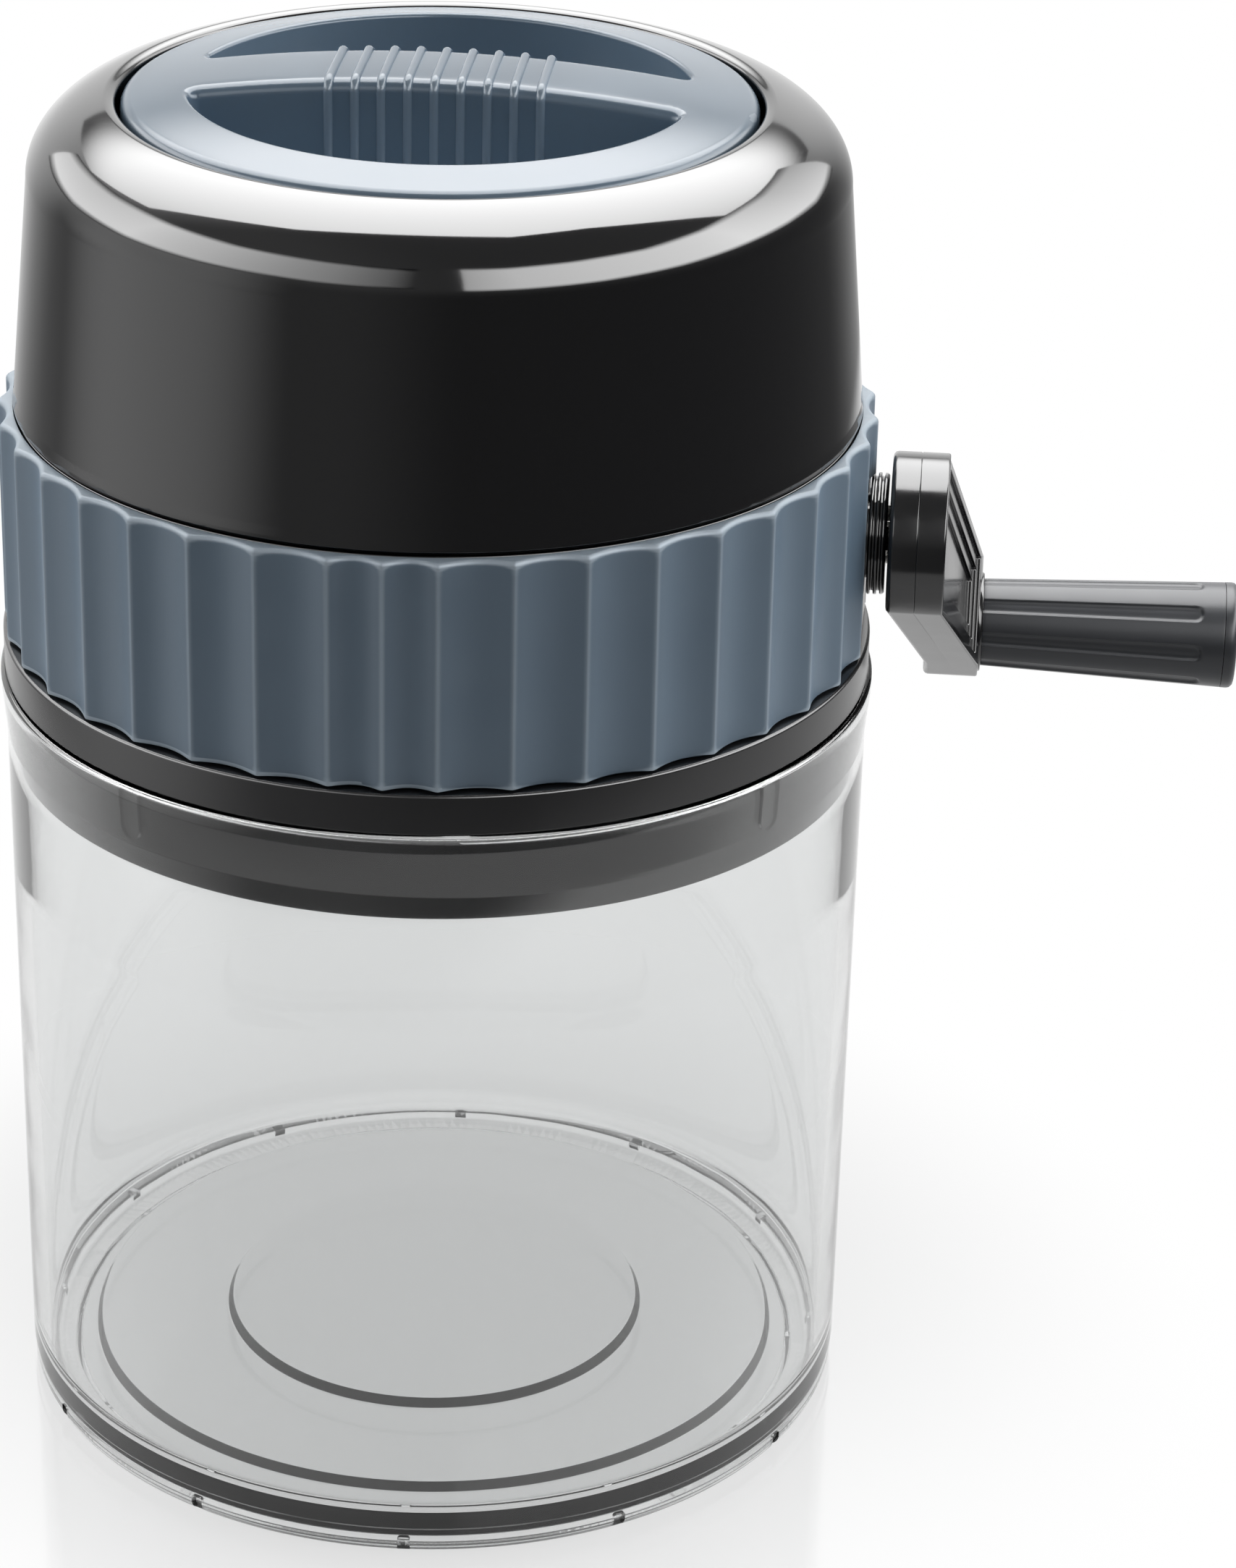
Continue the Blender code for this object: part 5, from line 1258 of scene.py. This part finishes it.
def make_pieces():
    black = gloss_black_abs()
    grey = gloss_grey_abs()
    smoke = smoke_abs()
    inner = black_polypropylene()
    acetal = natural_acetal()
    steel = stamped_steel()
    make_jar(clear_styrene())
    make_lower_housing(satin_black_abs())
    make_dome(black)
    make_grip_ring(soft_touch_tpe())
    make_hopper(inner)
    make_crusher_body(inner)
    stations = [(span(f"rotor_blade_{k}")[0].x + span(f"rotor_blade_{k}")[1].x) / 2 for k in range(1, 6)]
    make_comb("coarse_comb", -1, COARSE_SLOT, stations, steel)
    make_comb("fine_comb", 1, FINE_SLOT, stations, steel)
    for node in [f"deck_screw_{k}" for k in (1, 2, 3)] + [f"comb_screw_{k}" for k in (1, 2, 3, 4)]:
        make_screw(node, steel)
    make_bush("crank_side_bush", acetal)
    make_bush("far_side_bush", acetal)
    make_collar(black)
    make_shaft(steel)
    for number in range(1, 6):
        make_blade(number, steel)
    for number in range(1, 7):
        make_sleeve(f"rotor_spacer_{number}", SPACER_RADIUS, 0.3, acetal)
    make_sleeve("shaft_clip", CLIP_RADIUS, 0.15, steel)
    make_crank_arm(crank_black_abs())
    make_axle(steel)
    make_grip(smoke)
    make_grip_cap(smoke)
    make_lid(grey)
    make_lid_underside(grey)


# Stage and lights, in millimetres and degrees from +X
FLOOR_RADIUS = 1000.0
# From near to far off the jar's axis the table's shade goes over into plain white, by these shares
TABLE_SEEN = (48.0, 120.0)
TABLE_WHITE = (0.6, 1.0)
# Reflections lose the table between these distances from this place
TABLE_CENTRE = (60.0, 110.0, 0.0)
TABLE_MIRRORED = (310.0, 350.0)
PANEL_RADIUS = 760.0
PANEL_LEVEL = 180.0
PANEL_EDGE = 2.0
# Each soft box is rows of (turn, lower edge, upper edge, glow), the edges tilted up from the dome
LEFT_PANEL = ((-90, 16, 41, 0.4), (-97, 15, 41, 2.0), (-112, 14, 42, 4.0), (-127, 14, 42, 5.6),
              (-150, 12, 40, 8.5), (-175, 10, 37, 10.7), (-200, 9, 31, 7.1), (-225, 9, 20, 4.0))
RIGHT_PANEL = ((-77, 12, 43, 7.0), (-62, 12, 42, 10.0), (-40, 12, 42, 11.4), (-16, 12, 40, 12.2),
               (8, 12, 39, 12.6), (24, 10, 38, 9.5), (40, 7, 34, 6.1), (58, 7, 28, 3.0))
# The soft box overhead: (x, y) corners, and the distances between which its light is dimmed
TOP_HEIGHT = 900.0
TOP_CORNERS = ((-300, -50), (150, -50), (279, 80), (838, 373), (993, 1366), (900, 2000), (-1050, 2000),
               (-1109, 866), (-866, 184))
TOP_INNER = (-70.0, 300.0)
TOP_STEPS = 12
TOP_FADE = (1350.0, 2150.0)
TOP_DIMMING = 0.93
TOP_GLOW = 15.0
# The world as ramps of (from, to, level at from, level at to), along these directions and axes
UPPER_BACK = (-0.3, 0.8, 0.52)
BRIGHT_SIDE = (math.cos(math.radians(-165)), math.sin(math.radians(-165)), 0.0)
MIRRORED_BASE = (0.0, 0.6, 0.15, 0.35)
SIDE_GLOW = (0.72, 1.0, 0.0, 1.3)
BACK_GLOW = (0.7, 1.0, 0.0, 0.3)
SKY_GLOW = (0.0, 0.3, 0.0, 0.2)
UPPER_GLOW = (0.5, 0.85, 0.0, 1.0)
REFRACTED = (-0.4, 0.3, 0.15, 1.0)
WORLD_LEVEL = 0.32
# Lamps as (name, turn, height, distance, size, power in watts); they light the matt surfaces
LAMPS = (("left_lamp", -192.0, 300.0, 800.0, 700.0, 3.4), ("right_lamp", 8.0, 300.0, 800.0, 700.0, 4.5),
         ("top_lamp", 90.0, 1050.0, 120.0, 900.0, 1.8))
LAMP_AIM = Vector((0.0, 0.0, 120.0))


def reflector(name, verts, faces, glows):
    """A soft box that shows only in reflections, with its brightness stored at its points."""
    mesh = bpy.data.meshes.new(name)
    mesh.from_pydata([tuple(v * MM) for v in verts], [], faces)
    mesh.attributes.new("glow", "FLOAT", "POINT").data.foreach_set("value", glows)
    material = bpy.data.materials.new(f"{name}_glow")
    material.use_nodes = True
    tree = material.node_tree
    tree.nodes.clear()
    glow = add_node(tree, "ShaderNodeAttribute", {"attribute_name": "glow"})
    light = add_node(tree, "ShaderNodeEmission", {"Color": linear("#FFFFFF")},
                     {"Strength": glow.outputs["Fac"]})
    add_node(tree, "ShaderNodeOutputMaterial", None, {"Surface": light.outputs["Emission"]})
    mesh.materials.append(material)
    obj = bpy.data.objects.new(name, mesh)
    bpy.context.scene.collection.objects.link(obj)
    obj.visible_camera = False
    obj.visible_diffuse = False
    obj.visible_transmission = False
    obj.visible_shadow = False


def curved_panel(name, rows):
    """A soft box curved round the object, fading out at its edges."""
    verts = []
    glows = []
    for turn, low, high, glow in rows:
        for tilt, share in ((low - PANEL_EDGE, 0.0), (low + PANEL_EDGE, 1.0), (high - PANEL_EDGE, 1.0),
                            (high + PANEL_EDGE, 0.0)):
            height = PANEL_LEVEL + PANEL_RADIUS * math.tan(math.radians(tilt))
            verts.append(about_jar(PANEL_RADIUS, height, math.radians(turn)))
            glows.append(glow * share)
    faces = [[4 * k + i, 4 * k + i + 4, 4 * k + i + 5, 4 * k + i + 1]
             for k in range(len(rows) - 1) for i in range(3)]
    reflector(name, verts, faces, glows)


def top_panel():
    """The big soft box overhead, whose light falls off towards its far corners."""
    inner = Vector(TOP_INNER)
    corners = []
    for k, corner in enumerate(TOP_CORNERS):
        ahead = Vector(TOP_CORNERS[(k + 1) % len(TOP_CORNERS)])
        corners += [Vector(corner).lerp(ahead, i / 4) for i in range(4)]
    rings = [[Vector((*inner.lerp(corner, k / TOP_STEPS), TOP_HEIGHT)) for corner in corners]
             for k in range(TOP_STEPS + 1)]
    verts, faces = open_loft(rings)
    near, far = TOP_FADE
    glows = []
    for v in verts:
        fade = 1 - TOP_DIMMING * smooth_step(v.length - near, far - near)
        glows.append(TOP_GLOW * (TOP_HEIGHT / v.length) ** 1.2 * fade)
    reflector("top_panel", verts, faces, glows)


def white_acrylic():
    """Polished white acrylic sheet: a bright table that faintly mirrors what stands on it."""
    material, tree, place = new_material("white_acrylic")
    shader = add_node(tree, "ShaderNodeBsdfPrincipled",
                      {"Base Color": linear("#DADADA"), "Roughness": 0.08, "IOR": 1.49})
    reach = add_node(tree, "ShaderNodeVectorMath", {"operation": "LENGTH"}, {0: place})
    path = add_node(tree, "ShaderNodeLightPath")
    straight = add_node(tree, "ShaderNodeMath", {"operation": "MAXIMUM"},
                        {0: path.outputs["Is Camera Ray"], 1: path.outputs["Is Transmission Ray"]})
    seen = add_node(tree, "ShaderNodeMath", {"operation": "MAXIMUM"},
                    {0: straight.outputs["Value"], 1: path.outputs["Is Glossy Ray"]})
    lifted = add_node(tree, "ShaderNodeMath", {"operation": "MULTIPLY"},
                      {0: ramp(tree, reach.outputs["Value"], *TABLE_SEEN, *TABLE_WHITE),
                       1: seen.outputs["Value"]})
    white = add_node(tree, "ShaderNodeEmission", {"Strength": 1.0})
    shown = add_node(tree, "ShaderNodeMixShader", None,
                     {0: lifted.outputs["Value"], 1: shader.outputs["BSDF"], 2: white.outputs["Emission"]})
    behind = add_node(tree, "ShaderNodeVectorMath", {"operation": "DISTANCE", 1: TABLE_CENTRE}, {0: place})
    hidden = add_node(tree, "ShaderNodeMath", {"operation": "MULTIPLY"},
                      {0: ramp(tree, behind.outputs["Value"], *TABLE_MIRRORED, 0.0, 1.0),
                       1: path.outputs["Is Glossy Ray"]})
    clear = add_node(tree, "ShaderNodeBsdfTransparent")
    mixed = add_node(tree, "ShaderNodeMixShader", None,
                     {0: hidden.outputs["Value"], 1: shown.outputs["Shader"], 2: clear.outputs["BSDF"]})
    add_node(tree, "ShaderNodeOutputMaterial", None, {"Surface": mixed.outputs["Shader"]})
    return material


def make_stage():
    """Glossy white table and the soft boxes that the gloss plastics mirror."""
    floor = mesh_object("table", [slab(round_outline(FLOOR_RADIUS, 128), -20.0, 0.0, upright, 1.0)])
    floor.data.materials.append(white_acrylic())
    curved_panel("left_panel", LEFT_PANEL)
    curved_panel("right_panel", RIGHT_PANEL)
    top_panel()


def make_world():
    """White for the camera; for reflections and refractions bright behind and dark in front."""
    world = bpy.data.worlds.new("studio")
    bpy.context.scene.world = world
    world.use_nodes = True
    tree = world.node_tree
    tree.nodes.clear()
    place = add_node(tree, "ShaderNodeTexCoord").outputs["Generated"]
    parts = add_node(tree, "ShaderNodeSeparateXYZ", None, {0: place})
    turned = add_node(tree, "ShaderNodeVectorMath", {"operation": "DOT_PRODUCT", 1: BRIGHT_SIDE}, {0: place})
    level = ramp(tree, turned.outputs["Value"], *MIRRORED_BASE)
    behind = add_node(tree, "ShaderNodeVectorMath", {"operation": "DOT_PRODUCT", 1: UPPER_BACK}, {0: place})
    for value, glow in ((turned.outputs["Value"], SIDE_GLOW), (parts.outputs["Y"], BACK_GLOW),
                        (parts.outputs["Z"], SKY_GLOW), (behind.outputs["Value"], UPPER_GLOW)):
        extra = ramp(tree, value, *glow)
        level = add_node(tree, "ShaderNodeMath", {"operation": "ADD"}, {0: level, 1: extra}).outputs["Value"]
    mirrored = add_node(tree, "ShaderNodeBackground", {"Color": linear("#FFFFFF")}, {"Strength": level})
    refracted = add_node(tree, "ShaderNodeBackground", {"Color": linear("#FFFFFF")},
                         {"Strength": ramp(tree, parts.outputs["Y"], *REFRACTED)})
    white = add_node(tree, "ShaderNodeBackground", {"Color": linear("#FFFFFF"), "Strength": 1.0})
    dim = add_node(tree, "ShaderNodeBackground", {"Color": linear("#FFFFFF"), "Strength": WORLD_LEVEL})
    path = add_node(tree, "ShaderNodeLightPath")
    shown = dim
    for ray, background in (("Is Glossy Ray", mirrored), ("Is Transmission Ray", refracted),
                            ("Is Camera Ray", white)):
        shown = add_node(tree, "ShaderNodeMixShader", None,
                         {0: path.outputs[ray], 1: shown.outputs[0], 2: background.outputs[0]})
    add_node(tree, "ShaderNodeOutputWorld", None, {"Surface": shown.outputs["Shader"]})


def make_lamps():
    """Soft side lamps a little behind the object and one overhead; reflections don't show them."""
    for name, turn, height, distance, size, power in LAMPS:
        light = bpy.data.lights.new(name, "AREA")
        light.shape = "DISK"
        light.size = size * MM
        light.energy = power
        lamp = bpy.data.objects.new(name, light)
        bpy.context.scene.collection.objects.link(lamp)
        place = about_jar(distance, height, math.radians(turn))
        lamp.location = place * MM
        lamp.rotation_euler = (LAMP_AIM - place).to_track_quat("-Z", "Y").to_euler()
        lamp.visible_glossy = False
        lamp.visible_camera = False
        lamp.visible_transmission = False


# Camera fitted to the photograph, 1708 by 2166 pixels
PHOTO_HEIGHT = 2166
FOCAL_PIXELS = 6384.65
CAMERA_DISTANCE = 576.21
CAMERA_HEIGHT = 361.85
CAMERA_YAW = 0.0443
CAMERA_PITCH = 0.4435
CAMERA_ROLL = 0.0239
OBJECT_TURN = math.radians(6.87)
CAMERA_SIDESTEP = -0.6
SENSOR = 36.0


def make_camera():
    """The photograph's camera, found by fitting the rims of the object."""
    forward = Vector((math.sin(CAMERA_YAW) * math.cos(CAMERA_PITCH),
                      math.cos(CAMERA_YAW) * math.cos(CAMERA_PITCH), -math.sin(CAMERA_PITCH)))
    level = Vector((math.cos(CAMERA_YAW), -math.sin(CAMERA_YAW), 0.0))
    over = level.cross(forward)
    right = level * math.cos(CAMERA_ROLL) + over * math.sin(CAMERA_ROLL)
    up = over * math.cos(CAMERA_ROLL) - level * math.sin(CAMERA_ROLL)
    turn = Matrix.Rotation(OBJECT_TURN, 3, "Z")
    place = turn @ (Vector((0.0, -CAMERA_DISTANCE, CAMERA_HEIGHT)) + right * CAMERA_SIDESTEP)
    axes = Matrix((turn @ right, turn @ up, turn @ -forward)).transposed().to_4x4()
    camera = bpy.data.cameras.new("camera")
    camera.sensor_width = SENSOR
    camera.lens = FOCAL_PIXELS / PHOTO_HEIGHT * SENSOR
    camera.clip_start = 0.01
    eye = bpy.data.objects.new("camera", camera)
    bpy.context.scene.collection.objects.link(eye)
    eye.matrix_world = Matrix.Translation(place * MM) @ axes
    bpy.context.scene.camera = eye


make_camera()
make_pieces()
make_stage()
make_lamps()
make_world()
bpy.context.scene.view_settings.view_transform = "Standard"
bpy.context.view_layer.update()
